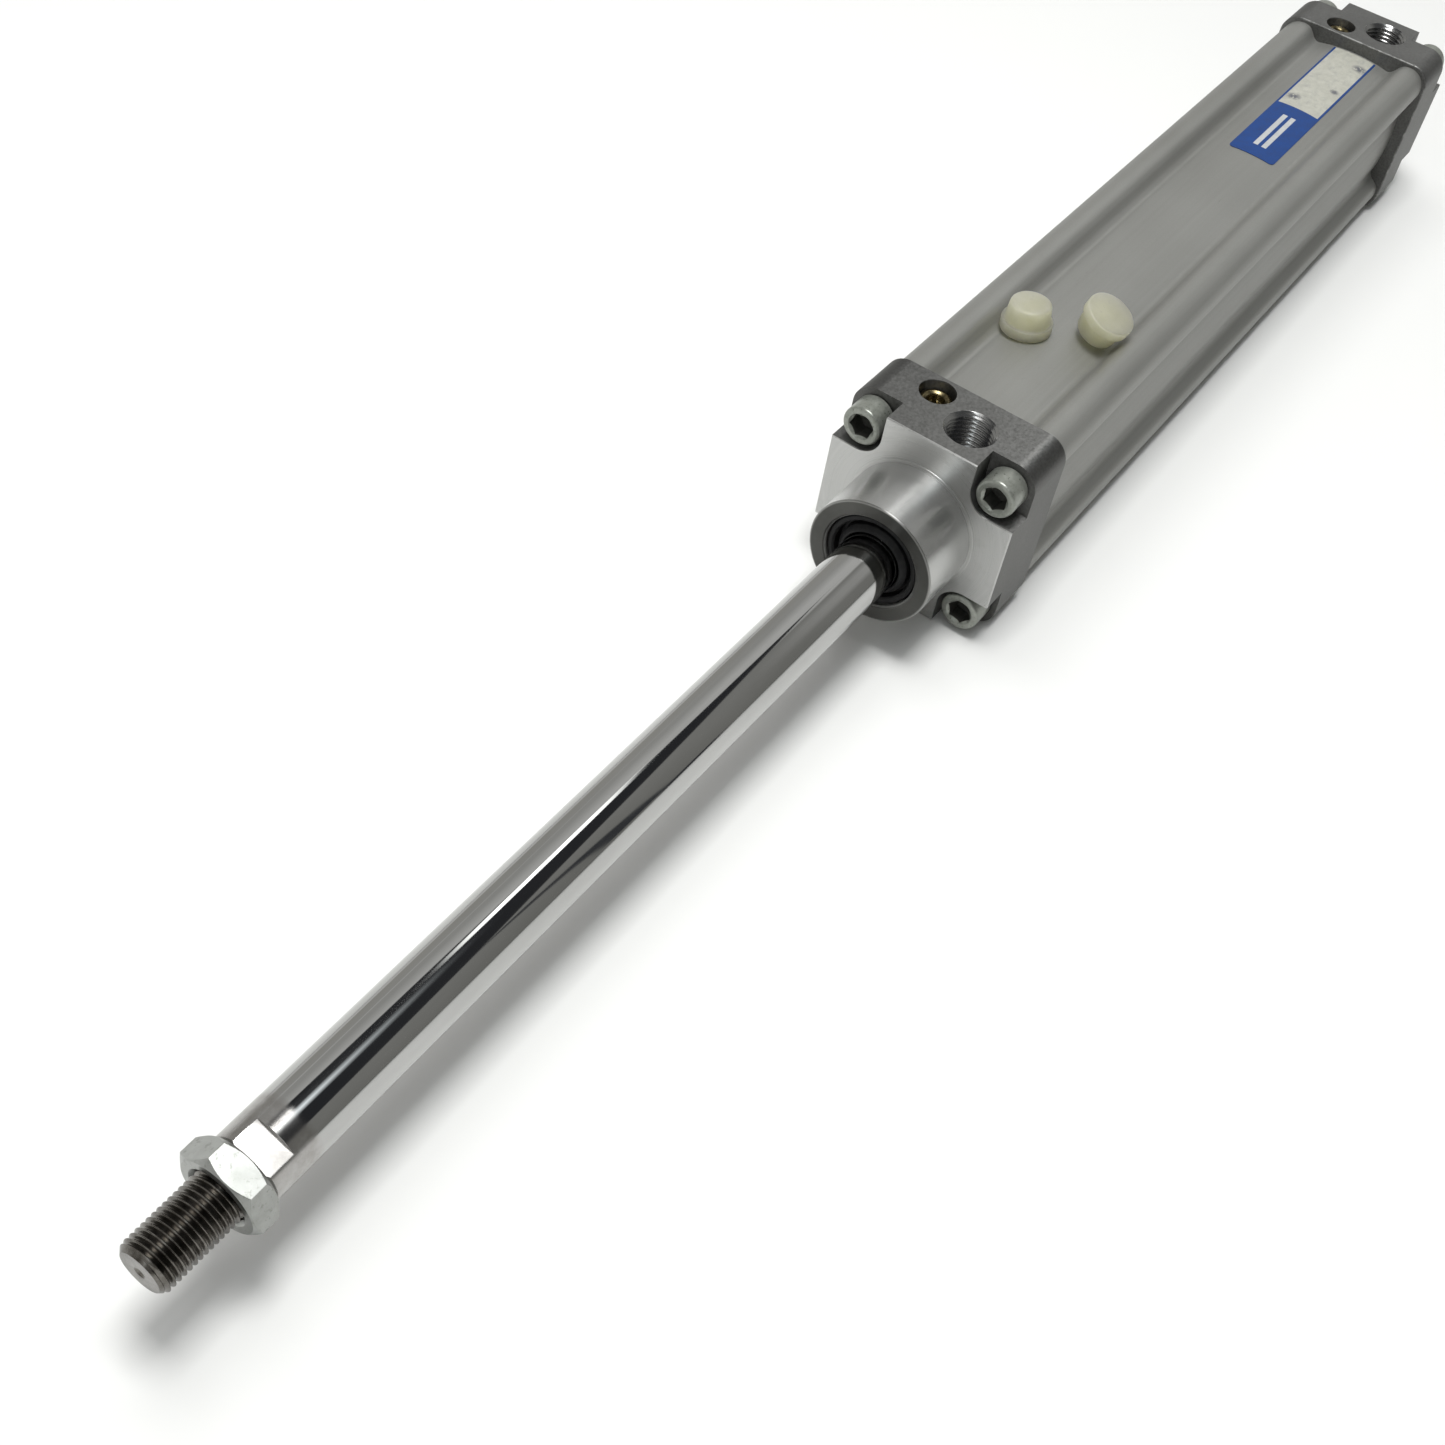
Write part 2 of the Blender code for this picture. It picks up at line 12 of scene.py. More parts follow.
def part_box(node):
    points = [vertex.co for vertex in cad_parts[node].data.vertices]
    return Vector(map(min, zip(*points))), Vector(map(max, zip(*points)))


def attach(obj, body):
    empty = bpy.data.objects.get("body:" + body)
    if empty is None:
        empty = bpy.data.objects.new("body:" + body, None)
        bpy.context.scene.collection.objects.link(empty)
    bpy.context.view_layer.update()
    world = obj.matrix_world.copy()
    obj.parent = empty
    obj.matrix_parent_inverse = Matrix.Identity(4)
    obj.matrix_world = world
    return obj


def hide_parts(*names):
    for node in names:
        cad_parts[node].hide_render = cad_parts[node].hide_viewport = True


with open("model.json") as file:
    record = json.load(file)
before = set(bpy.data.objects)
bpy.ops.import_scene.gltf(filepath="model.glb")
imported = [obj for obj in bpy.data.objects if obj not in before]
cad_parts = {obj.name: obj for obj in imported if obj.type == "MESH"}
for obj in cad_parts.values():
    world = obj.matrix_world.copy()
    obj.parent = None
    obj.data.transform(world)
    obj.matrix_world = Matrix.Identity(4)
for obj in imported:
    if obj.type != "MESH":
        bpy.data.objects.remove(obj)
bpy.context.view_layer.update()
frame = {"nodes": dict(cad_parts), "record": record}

MM = 0.001

# Places read from the CAD frame. Stations run along the cylinder's axis, towards the rod's tip;
# a cap's own stations count from its outer face.
rod_low, rod_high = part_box("piston_rod")
cap_low, cap_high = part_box("front_cap")
NECK_LENGTH = 19.7
AXIS = 0.5 * (rod_low[2] + rod_high[2]) / MM
FACE = cap_high[0] / MM - NECK_LENGTH
HALF = 0.5 * (cap_high[1] - cap_low[1]) / MM
BODY_LENGTH = 305.0

# Caps
CAP_LENGTH = 24.2
CAP_CORNER = 6.5
NECK_RADIUS = 17.45
SPIGOT_LENGTH = 4.0
SEALING_RADIUS = 19.7
SEALING_END = -36.2
SCREW_OFFSET = 19.45  # across and up from the axis
SCREW_HOLE = 3.3
POCKET_RADIUS = 6.5
POCKET_DEPTH = 7.85
PORT_STATION, PORT_OFFSET = 11.2, 4.7
CUSHION_STATION, CUSHION_OFFSET = 17.9, -8.9

# Barrel: each side bulges to its height on a large radius
BORE_RADIUS = 20.0
SIDE_HEIGHT = 22.5
SIDE_RADIUS = 58.0

# Rod, counted from the front face
ROD_RADIUS = 8.0
ROD_TIP = rod_high[0] / MM - FACE
ROD_SHOULDER = ROD_TIP - 24.5
FLAT_DISTANCE = 6.5
FLAT_LENGTH = 6.3
ROD_ANGLE = math.radians(17.9)
THREAD_STEPS = 96  # points round a thread


# ---------------- meshes

def link(name, mesh, body, material, replaced):
    """Adds a piece that rides on a body and takes over CAD nodes."""
    obj = helper(name, mesh)
    for index, held in enumerate(mesh.materials):
        mesh.materials[index] = held or material
    if not mesh.materials:
        mesh.materials.append(material)
    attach(obj, body)
    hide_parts(*replaced)


def weld(mesh, distance):
    """Joins points that lie within a distance in millimetres of each other."""
    working = bmesh.new()
    working.from_mesh(mesh)
    bmesh.ops.remove_doubles(working, verts=working.verts, dist=distance * MM)
    working.to_mesh(mesh)
    working.free()


def to_mesh(name, points, faces, sharp=32.0, welded=False):
    """A mesh from millimetre points, shaded smooth with its sharper edges kept."""
    mesh = bpy.data.meshes.new(name)
    mesh.from_pydata([tuple(c * MM for c in p) for p in points], [], faces)
    if welded:
        weld(mesh, 1e-5)
    mesh.validate()
    mesh.shade_smooth()
    mesh.set_sharp_from_angle(angle=math.radians(sharp))
    return mesh


def rounded(profile, radii, closed=False, steps=4):
    """Rounds the corners of a profile, by one radius for each point."""
    count = len(profile)
    result = []
    for i, point in enumerate(profile):
        ends = not closed and i in (0, count - 1)
        here = Vector(point)
        before = Vector(profile[i - 1]) - here
        after = Vector(profile[(i + 1) % count]) - here
        if ends or radii[i] <= 0 or before.length < 1e-6 or after.length < 1e-6:
            result.append(tuple(here))
            continue
        half = 0.5 * before.angle(after)
        if half > math.radians(86):
            result.append(tuple(here))
            continue
        reach = min(radii[i] / math.tan(half), 0.45 * before.length, 0.45 * after.length)
        start = here + before.normalized() * reach
        end = here + after.normalized() * reach
        for k in range(steps + 1):
            t = k / steps
            result.append(tuple((1 - t) ** 2 * start + 2 * t * (1 - t) * here + t * t * end))
    return result


def add_rings(points, profile, steps):
    """Adds a ring of points for each (radius, station) of a profile, and returns the rings."""
    rings = []
    for radius, station in profile:
        if radius < 1e-6:
            rings.append([len(points)] * steps)
            points.append((station, 0.0, 0.0))
            continue
        rings.append(list(range(len(points), len(points) + steps)))
        for k in range(steps):
            angle = math.tau * k / steps
            points.append((station, radius * math.cos(angle), radius * math.sin(angle)))
    return rings


def skin(rings):
    """Faces between successive rings. They look out when the rings run towards lower stations on
    the outer side."""
    faces = []
    for upper, lower in zip(rings, rings[1:]):
        for k in range(len(upper)):
            n = (k + 1) % len(upper)
            corners = [upper[k], lower[k], lower[n], upper[n]]
            face = [c for i, c in enumerate(corners) if c != corners[i - 1]]
            if len(face) > 2:
                faces.append(face)
    return faces


def lathe_data(profile, steps, closed=False):
    """Points and faces of a (radius, station) profile turned about the station axis."""
    points = []
    rings = add_rings(points, profile, steps)
    return points, skin(rings + rings[:1] if closed else rings)


def helix(points, radius_at, pitch, low, high):
    """Adds a thread's surface. Its rows of points climb with the thread, so that the crests stay
    crisp, and points beyond either end are gathered on that end's ring. Returns the faces, the
    highest ring and the lowest ring."""
    steps, per_turn, first = THREAD_STEPS, 12, len(points)
    rows = math.ceil((high - low) / pitch * per_turn) + per_turn
    for row in range(rows + 1):
        for k in range(steps):
            height = low + pitch * (row / per_turn + k / steps - 1.0)
            height = min(max(height, low), high)
            radius = radius_at(row / per_turn % 1.0, height)
            angle = math.tau * k / steps
            points.append((height, radius * math.cos(angle), radius * math.sin(angle)))

    def corner(row, k):
        if k == steps:
            row, k = min(row + per_turn, rows), 0
        return first + row * steps + k

    faces = []
    for row in range(rows):
        for k in range(steps):
            corners = ((row + 1, k), (row, k), (row, k + 1), (row + 1, k + 1))
            faces.append([corner(*place) for place in corners])
    return faces, [corner(rows, k) for k in range(steps)], [corner(0, k) for k in range(steps)]


def placed(points, face=FACE, y=0.0, z=0.0, flip=False):
    """Moves axis-frame points to a cap's outer face; flip mirrors stations for the rear end."""
    sign = -1.0 if flip else 1.0
    return [(face + sign * p[0], p[1] + y, p[2] + z + AXIS) for p in points]


def turned(name, profile, steps=96, closed=False, face=FACE, y=0.0, z=0.0, flip=False):
    """A body turned about a line along X, its stations counted from a cap's outer face."""
    points, faces = lathe_data(profile, steps, closed)
    if flip:
        faces = [corners[::-1] for corners in faces]
    return helper(name, to_mesh(name, placed(points, face, y, z, flip), faces))


def raised(points, x, y):
    """Stands axis-frame points upright at a place, heights counted from the cylinder's axis."""
    return [(x + p[1], y + p[2], AXIS + p[0]) for p in points]


def upright(name, profile, x, y, steps=64):
    """A body turned about a vertical line."""
    points, faces = lathe_data(profile, steps)
    return helper(name, to_mesh(name, raised(points, x, y), faces))


def helper(name, data):
    """Puts a new object in the scene."""
    obj = bpy.data.objects.new(name, data)
    bpy.context.scene.collection.objects.link(obj)
    return obj


def release(obj):
    """Removes a working object and returns its mesh."""
    mesh = obj.data
    bpy.data.objects.remove(obj)
    return mesh


def boolean(target, tools, operation="DIFFERENCE"):
    """Applies exact Booleans to a mesh object and removes the tools."""
    for tool in tools:
        modifier = target.modifiers.new("cut", "BOOLEAN")
        modifier.operation = operation
        modifier.solver = "EXACT"
        modifier.object = tool
        modifier.material_mode = "TRANSFER"
    apply_modifiers(target)
    for tool in tools:
        bpy.data.objects.remove(tool, do_unlink=True)


def apply_modifiers(obj, welded=True):
    """Turns what the modifiers make into the object's own mesh."""
    graph = bpy.context.evaluated_depsgraph_get()
    mesh = bpy.data.meshes.new_from_object(obj.evaluated_get(graph))
    if welded:
        weld(mesh, 5e-4)
    obj.modifiers.clear()
    obj.data = mesh


def soften(obj, width, angle=38.0, segments=2, sharp=40.0, spared=None):
    """Breaks the sharp edges of a machined piece, apart from those within a spared (x, y, radius)
    of an upright line."""
    working = bmesh.new()
    working.from_mesh(obj.data)
    weight = working.edges.layers.float.new("bevel_weight_edge")
    for edge in working.edges:
        middle = (edge.verts[0].co + edge.verts[1].co) / 2
        if spared and math.dist(middle.xy, (spared[0] * MM, spared[1] * MM)) < spared[2] * MM:
            continue
        if len(edge.link_faces) == 2 and edge.calc_face_angle() > math.radians(angle):
            edge[weight] = 1.0
    working.to_mesh(obj.data)
    working.free()
    modifier = obj.modifiers.new("edges", "BEVEL")
    modifier.width = width * MM
    modifier.segments = segments
    modifier.limit_method = "WEIGHT"
    modifier.use_clamp_overlap = True
    apply_modifiers(obj)
    obj.data.shade_smooth()
    obj.data.set_sharp_from_angle(angle=math.radians(sharp))
    normals = obj.modifiers.new("normals", "WEIGHTED_NORMAL")
    normals.keep_sharp = True
    normals.weight = 100
    apply_modifiers(obj, False)


def arc(centre, radius, start, end, count):
    """Points on an arc between two angles in degrees."""
    angles = [math.radians(start + (end - start) * i / count) for i in range(count + 1)]
    return [(centre[0] + radius * math.cos(a), centre[1] + radius * math.sin(a)) for a in angles]


def rounded_square(half, radius, count=14):
    """The outline of a square with round corners, counter-clockwise."""
    inner = half - radius
    centres = ((inner, inner), (-inner, inner), (-inner, -inner), (inner, -inner))
    points = []
    for turn, centre in enumerate(centres):
        points += arc(centre, radius, 90 * turn, 90 * turn + 90, count)
    return points


def stacked(name, loops, sharp=32.0):
    """A closed body through (station, outline) loops of equal length, outlines counter-clockwise
    seen from the high side, stations rising."""
    points, faces = [], []
    count = len(loops[0][1])
    for station, outline in loops:
        points += [(station, y, z + AXIS) for y, z in outline]
    for level in range(len(loops) - 1):
        low, high = level * count, (level + 1) * count
        for k in range(count):
            n = (k + 1) % count
            faces.append([low + k, low + n, high + n, high + k])
    faces.append(list(range(count))[::-1])
    faces.append([(len(loops) - 1) * count + k for k in range(count)])
    return helper(name, to_mesh(name, points, faces, sharp))


def screw_places():
    """Where the four screws of a cap lie, as (y, z) from the axis."""
    return [(y * SCREW_OFFSET, z * SCREW_OFFSET) for y, z in ((-1, 1), (1, 1), (1, -1), (-1, -1))]


def cap_face(front):
    """A cap's outer face along X, and the direction in which it looks."""
    return (FACE, 1.0) if front else (FACE - BODY_LENGTH, -1.0)


# ---------------- materials

class Shader:
    """Short hand for building a node tree round a Principled shader. Textures lie in the part's
    own frame, in metres."""

    def __init__(self, name, metallic=0.0):
        self.material = bpy.data.materials.new(name)
        self.material.use_nodes = True
        self.tree = self.material.node_tree
        self.shader = self.tree.nodes["Principled BSDF"]
        self.set(self.shader, "Metallic", metallic)
        self.place = self.node("TexCoord").outputs["Object"]

    def node(self, kind):
        return self.tree.nodes.new("ShaderNode" + kind)

    @staticmethod
    def set(node, socket, value):
        node.inputs[socket].default_value = value

    def link(self, source, target):
        self.tree.links.new(source, target)

    def stretched(self, scale):
        """The part's frame, scaled along each axis."""
        node = self.node("Mapping")
        self.link(self.place, node.inputs["Vector"])
        self.set(node, "Scale", scale)
        return node.outputs["Vector"]

    def noise(self, scale, detail, roughness, vector=None):
        node = self.node("TexNoise")
        self.set(node, "Scale", scale)
        self.set(node, "Detail", detail)
        self.set(node, "Roughness", roughness)
        self.link(vector or self.place, node.inputs["Vector"])
        return node.outputs["Fac"]

    def voronoi(self, scale):
        node = self.node("TexVoronoi")
        self.set(node, "Scale", scale)
        self.link(self.place, node.inputs["Vector"])
        return node.outputs["Distance"]

    def stops(self, value, *stops):
        """Maps a value through (position, colour or grey) stops."""
        node = self.node("ValToRGB")
        ramp = node.color_ramp
        while len(ramp.elements) < len(stops):
            ramp.elements.new(0.5)
        for element, (position, colour) in zip(ramp.elements, stops):
            element.position = position
            tone = colour if isinstance(colour, tuple) else (colour,) * 3
            element.color = (*tone, 1.0)
        self.link(value, node.inputs["Fac"])
        return node.outputs["Color"]

    def ramp(self, value, low, high, start=0.3, end=0.7):
        """Blends from one colour or grey to another between two positions of a value."""
        return self.stops(value, (start, low), (end, high))

    def mix(self, factor, a, b):
        """Blends from a to b, each a colour, a grey or a socket."""
        node = self.node("Mix")
        node.data_type = "RGBA"
        ends = [(value,) * 3 if isinstance(value, float) else value for value in (a, b)]
        for socket, value in zip((node.inputs[0], node.inputs[6], node.inputs[7]), (factor, *ends)):
            if isinstance(value, float):
                socket.default_value = value
            elif isinstance(value, tuple):
                socket.default_value = (*value, 1.0)
            else:
                self.link(value, socket)
        return node.outputs[2]

    def math(self, operation, a, b=0.0):
        node = self.node("Math")
        node.operation = operation
        for socket, value in zip(node.inputs, (a, b)):
            if isinstance(value, (int, float)):
                socket.default_value = value
            else:
                self.link(value, socket)
        return node.outputs[0]

    def times(self, a, b):
        return self.math("MULTIPLY", a, b)

    def distance(self, across, along):
        """The length of a flat vector."""
        squares = [self.math("POWER", value, 2.0) for value in (across, along)]
        return self.math("SQRT", self.math("ADD", *squares))

    def axis(self, name, middle=0.0):
        """One coordinate of the point in the part's frame, in metres from a middle."""
        node = self.node("SeparateXYZ")
        self.link(self.place, node.inputs[0])
        return self.math("SUBTRACT", node.outputs[name], middle) if middle else node.outputs[name]

    def step(self, value, low, high):
        """0 at low and 1 at high, which may be the smaller one."""
        node = self.node("MapRange")
        node.clamp = True
        for key, number in (("From Min", low), ("From Max", high), ("To Min", 0.0), ("To Max", 1.0)):
            self.set(node, key, number)
        self.link(value, node.inputs["Value"])
        return node.outputs["Result"]

    def step_mm(self, value, low, high):
        return self.step(value, low * MM, high * MM)

    def radius(self):
        """Distance from the cylinder's axis."""
        return self.distance(self.axis("Y"), self.axis("Z", AXIS * MM))

    def from_upright(self, x, y):
        """Distance from a vertical line."""
        return self.distance(self.axis("X", x), self.axis("Y", y))

    def colour(self, value):
        self.link(value, self.shader.inputs["Base Color"])

    def rough(self, value):
        self.link(value, self.shader.inputs["Roughness"])

    def bump(self, height, strength, distance):
        """Adds relief on top of any earlier bump, its distance in millimetres."""
        node = self.node("Bump")
        self.set(node, "Strength", strength)
        self.set(node, "Distance", distance * MM)
        self.link(height, node.inputs["Height"])
        previous = self.shader.inputs["Normal"].links
        if previous:
            self.link(previous[0].from_socket, node.inputs["Normal"])
        self.link(node.outputs["Normal"], self.shader.inputs["Normal"])


def anodised():
    """Matte grey extrusion with faint draw lines, stains and small scuffs."""
    s = Shader("anodised_profile", 0.65)
    lines = s.noise(1.6, 5, 0.6, s.stretched((3, 300, 300)))
    grain = s.noise(2600, 2, 0.5)
    cloud = s.noise(22, 4, 0.55)
    base = s.ramp(cloud, (0.255, 0.255, 0.235), (0.295, 0.295, 0.275))
    base = s.mix(0.25, base, s.ramp(lines, 0.23, 0.32))
    scuffs = s.ramp(s.noise(9, 8, 0.72, s.stretched((6, 26, 26))), 0.0, 1.0, 0.66, 0.74)
    s.colour(s.mix(s.times(scuffs, 0.35), base, (0.14, 0.14, 0.13)))
    mottle = s.math("ADD", s.times(grain, 0.5), s.times(cloud, 0.5))
    s.rough(s.ramp(mottle, 0.44, 0.60))
    s.bump(grain, 0.25, 0.02)
    s.bump(lines, 0.12, 0.02)
    return s.material


def cast_cap(front):
    """Tumbled die casting with a turned outer face, a smoother neck with a dull end, and a cut port."""
    s = Shader("front_cap_metal" if front else "rear_cap_metal", 0.9)
    s.set(s.shader, "Anisotropic", 0.85 if front else 0.5)
    s.set(s.shader, "Anisotropic Rotation", 0.25)
    tangent = s.node("Tangent")
    tangent.direction_type = "RADIAL"
    tangent.axis = "X"
    s.link(tangent.outputs[0], s.shader.inputs["Tangent"])

    # Where each finish lies. Depths count outward from the cap's face.
    face, outward = cap_face(front)
    depth = s.times(s.axis("X", face * MM), outward)
    radius = s.radius()
    lathed = s.step_mm(depth, -0.45, -0.35)
    if front:
        lathed = s.times(lathed, s.step_mm(radius, 13.2, 13.3))
    neck = s.step_mm(depth, 0.25, 0.35)
    port = s.from_upright((face - outward * PORT_STATION) * MM, PORT_OFFSET * MM)
    port = s.times(s.step_mm(port, 7.2, 7.1), s.step_mm(s.axis("Z"), AXIS + 14.2, AXIS + 14.4))
    port = s.times(port, s.step_mm(s.axis("Z"), AXIS + HALF - 0.02, AXIS + HALF - 0.06))
    machined = s.math("MAXIMUM", lathed, port)

    # The casting, worn along its inner rim
    grain = s.noise(1500, 3, 0.6)
    cloud = s.noise(45, 5, 0.6)
    # Both castings are lifted in tone; the rear one more, painted light that brightens its shaded faces
    tone_lift_and_painted_light = 1.14 if front else 1.22
    low, high = (0.086, 0.086, 0.081), (0.128, 0.128, 0.121)
    low, high = (tuple(c * tone_lift_and_painted_light for c in tone) for tone in (low, high))
    cast = s.ramp(cloud, low, high, 0.25, 0.75)
    cast = s.mix(0.35, cast, s.ramp(grain, 0.06 * tone_lift_and_painted_light, 0.21 * tone_lift_and_painted_light))
    worn = s.step_mm(depth, 0.5 - CAP_LENGTH, 0.15 - CAP_LENGTH)
    sides = [s.math("ABSOLUTE", side) for side in (s.axis("Y"), s.axis("Z", AXIS * MM))]
    worn = s.times(worn, s.step_mm(s.math("MAXIMUM", *sides), HALF - 0.6, HALF - 0.3))
    worn = s.times(worn, s.ramp(s.noise(300, 5, 0.7), 0.0, 1.0, 0.46, 0.58))
    cast = s.mix(s.times(worn, 0.7), cast, (0.34, 0.34, 0.33))

    # The cut surfaces, with rings of tool marks and some dirt
    combine = s.node("CombineXYZ")
    s.link(s.times(radius, 5200.0), combine.inputs[0])
    s.link(s.times(s.axis("X"), 5200.0), combine.inputs[1])
    turning = s.noise(1.0, 3, 0.55, combine.outputs[0])
    bright = s.ramp(turning, (0.43, 0.432, 0.423), (0.50, 0.502, 0.492))
    dirt = s.ramp(s.noise(120, 6, 0.7), 0.0, 1.0, 0.56, 0.72)
    bright = s.mix(s.times(dirt, 0.3), bright, (0.29, 0.29, 0.275))
    bright = s.mix(port, bright, s.ramp(cloud, (0.24, 0.24, 0.235), (0.31, 0.31, 0.305)))
    smooth = s.mix(neck, s.ramp(turning, 0.26, 0.36), s.ramp(turning, 0.23, 0.27))
    smooth = s.mix(port, smooth, 0.2)

    colour = s.mix(machined, cast, bright)
    rough = s.mix(machined, s.ramp(grain, 0.40, 0.58), smooth)
    if front:
        rim = s.times(s.step_mm(depth, NECK_LENGTH - 0.45, NECK_LENGTH - 0.35), lathed)
        dull = s.ramp(cloud, (0.062, 0.062, 0.058), (0.10, 0.10, 0.094))
        dull = s.mix(s.step_mm(radius, NECK_RADIUS - 0.6, NECK_RADIUS - 0.3), dull, (0.27, 0.27, 0.26))
        colour = s.mix(rim, colour, dull)
        rough = s.mix(rim, rough, 0.42)
    s.colour(colour)
    s.rough(rough)
    s.bump(s.times(s.voronoi(900), s.math("SUBTRACT", 1.0, machined)), 0.25, 0.06)
    s.bump(s.times(turning, s.math("SUBTRACT", lathed, s.times(neck, 0.6))), 0.10, 0.02)
    return s.material


def zinc():
    """Old zinc plating, dull olive grey and a little speckled."""
    s = Shader("zinc_screws", 0.6)
    speckle = s.noise(1100, 4, 0.6)
    cloud = s.noise(160, 5, 0.6)
    tones = ((0.3, (0.20, 0.213, 0.187)), (0.55, (0.26, 0.272, 0.243)), (0.75, (0.33, 0.34, 0.31)))
    specks = s.ramp(speckle, (0.15, 0.158, 0.135), (0.40, 0.412, 0.38), 0.35, 0.65)
    s.colour(s.mix(0.25, s.stops(cloud, *tones), specks))
    s.rough(s.ramp(speckle, 0.26, 0.42))
    s.bump(speckle, 0.15, 0.03)
    return s.material


def zinc_nut():
    """Brighter plating with green-grey age spots."""
    s = Shader("nut_zinc", 0.9)
    cloud = s.noise(240, 5, 0.65)
    spots = s.ramp(s.noise(700, 6, 0.7), 0.0, 1.0, 0.56, 0.62)
    base = s.ramp(cloud, (0.28, 0.288, 0.272), (0.36, 0.365, 0.354), 0.35, 0.7)
    s.colour(s.mix(s.times(spots, 0.45), base, (0.14, 0.15, 0.125)))
    s.rough(s.ramp(cloud, 0.28, 0.35, 0.35, 0.7))
    s.bump(spots, 0.18, 0.02)
    return s.material


def chrome():
    """Hard chrome with fine grinding lines, duller near the flats and oily grey on the thread."""
    s = Shader("chromed_rod", 1.0)
    shoulder = FACE + ROD_SHOULDER
    band = s.step_mm(s.axis("X"), FACE + 219.6, FACE + 221.2)
    thread = s.step_mm(s.axis("X"), shoulder - 0.05, shoulder + 0.05)
    flats = s.times(band, s.step_mm(s.radius(), ROD_RADIUS - 0.07, ROD_RADIUS - 0.12))
    wear = s.noise(60, 6, 0.7, s.stretched((0.25, 1, 1)))
    grind = s.noise(1.0, 4, 0.6, s.stretched((2600, 40, 40)))
    polish = s.ramp(wear, (0.42, 0.42, 0.413), (0.475, 0.475, 0.468), 0.35, 0.7)
    dull = s.ramp(s.noise(260, 6, 0.72), (0.28, 0.265, 0.25), (0.42, 0.41, 0.40), 0.35, 0.65)
    oiled = s.ramp(s.noise(420, 5, 0.7), (0.075, 0.068, 0.058), (0.21, 0.20, 0.185), 0.35, 0.7)
    s.colour(s.mix(thread, s.mix(s.times(band, 0.75), polish, dull), oiled))
    rough = s.mix(band, s.ramp(wear, 0.045, 0.085, 0.35, 0.7), s.ramp(wear, 0.14, 0.26, 0.35, 0.7))
    rough = s.mix(flats, rough, 0.34)
    s.rough(s.mix(thread, rough, s.ramp(wear, 0.18, 0.28, 0.35, 0.7)))
    s.bump(grind, 0.02, 0.005)
    return s.material


def rubber():
    """Black rubber, matt and faintly dusty."""
    s = Shader("seal_rubber")
    s.set(s.shader, "Specular IOR Level", 0.22)
    dust = s.noise(700, 5, 0.65)
    s.colour(s.ramp(dust, (0.006, 0.006, 0.007), (0.018, 0.018, 0.017), 0.4, 0.75))
    s.rough(s.ramp(dust, 0.45, 0.65))
    s.bump(dust, 0.1, 0.02)
    return s.material


def brass():
    """Brass, brown with tarnish in patches."""
    s = Shader("aged_brass", 1.0)
    tarnish = s.noise(500, 5, 0.65)
    s.colour(s.ramp(tarnish, (0.09, 0.072, 0.036), (0.36, 0.30, 0.17), 0.35, 0.7))
    s.rough(s.ramp(tarnish, 0.38, 0.18))
    s.bump(tarnish, 0.15, 0.02)
    return s.material


def plain(name, colour, roughness, metallic, spread=0.12):
    """A clouded colour, for pieces that hardly show."""
    s = Shader(name, metallic)
    cloud = s.noise(300, 4, 0.6)
    dark = tuple(c * (1 - spread) for c in colour)
    light = tuple(min(1.0, c * (1 + spread)) for c in colour)
    s.colour(s.ramp(cloud, dark, light))
    s.rough(s.ramp(cloud, roughness * 0.85, min(1.0, roughness * 1.15)))
    s.bump(cloud, 0.08, 0.02)
    return s.material


def polyethylene():
    """Uncoloured translucent plastic, yellowed and a little dirty."""
    s = Shader("natural_plastic")
    constants = {
        "IOR": 1.51,
        "Transmission Weight": 0.45,
        "Subsurface Weight": 1.0,
        "Subsurface Radius": (1.0, 1.0, 0.8),
        "Subsurface Scale": 0.035,
    }
    for socket, value in constants.items():
        s.set(s.shader, socket, value)
    cloud = s.noise(260, 5, 0.6)
    dirt = s.ramp(s.noise(520, 6, 0.72), 0.0, 1.0, 0.6, 0.75)
    base = s.ramp(cloud, (0.60, 0.58, 0.37), (0.69, 0.665, 0.455))
    s.colour(s.mix(s.times(dirt, 0.4), base, (0.30, 0.275, 0.20)))
    s.rough(s.ramp(cloud, 0.34, 0.52))
    s.bump(cloud, 0.15, 0.04)
    return s.material


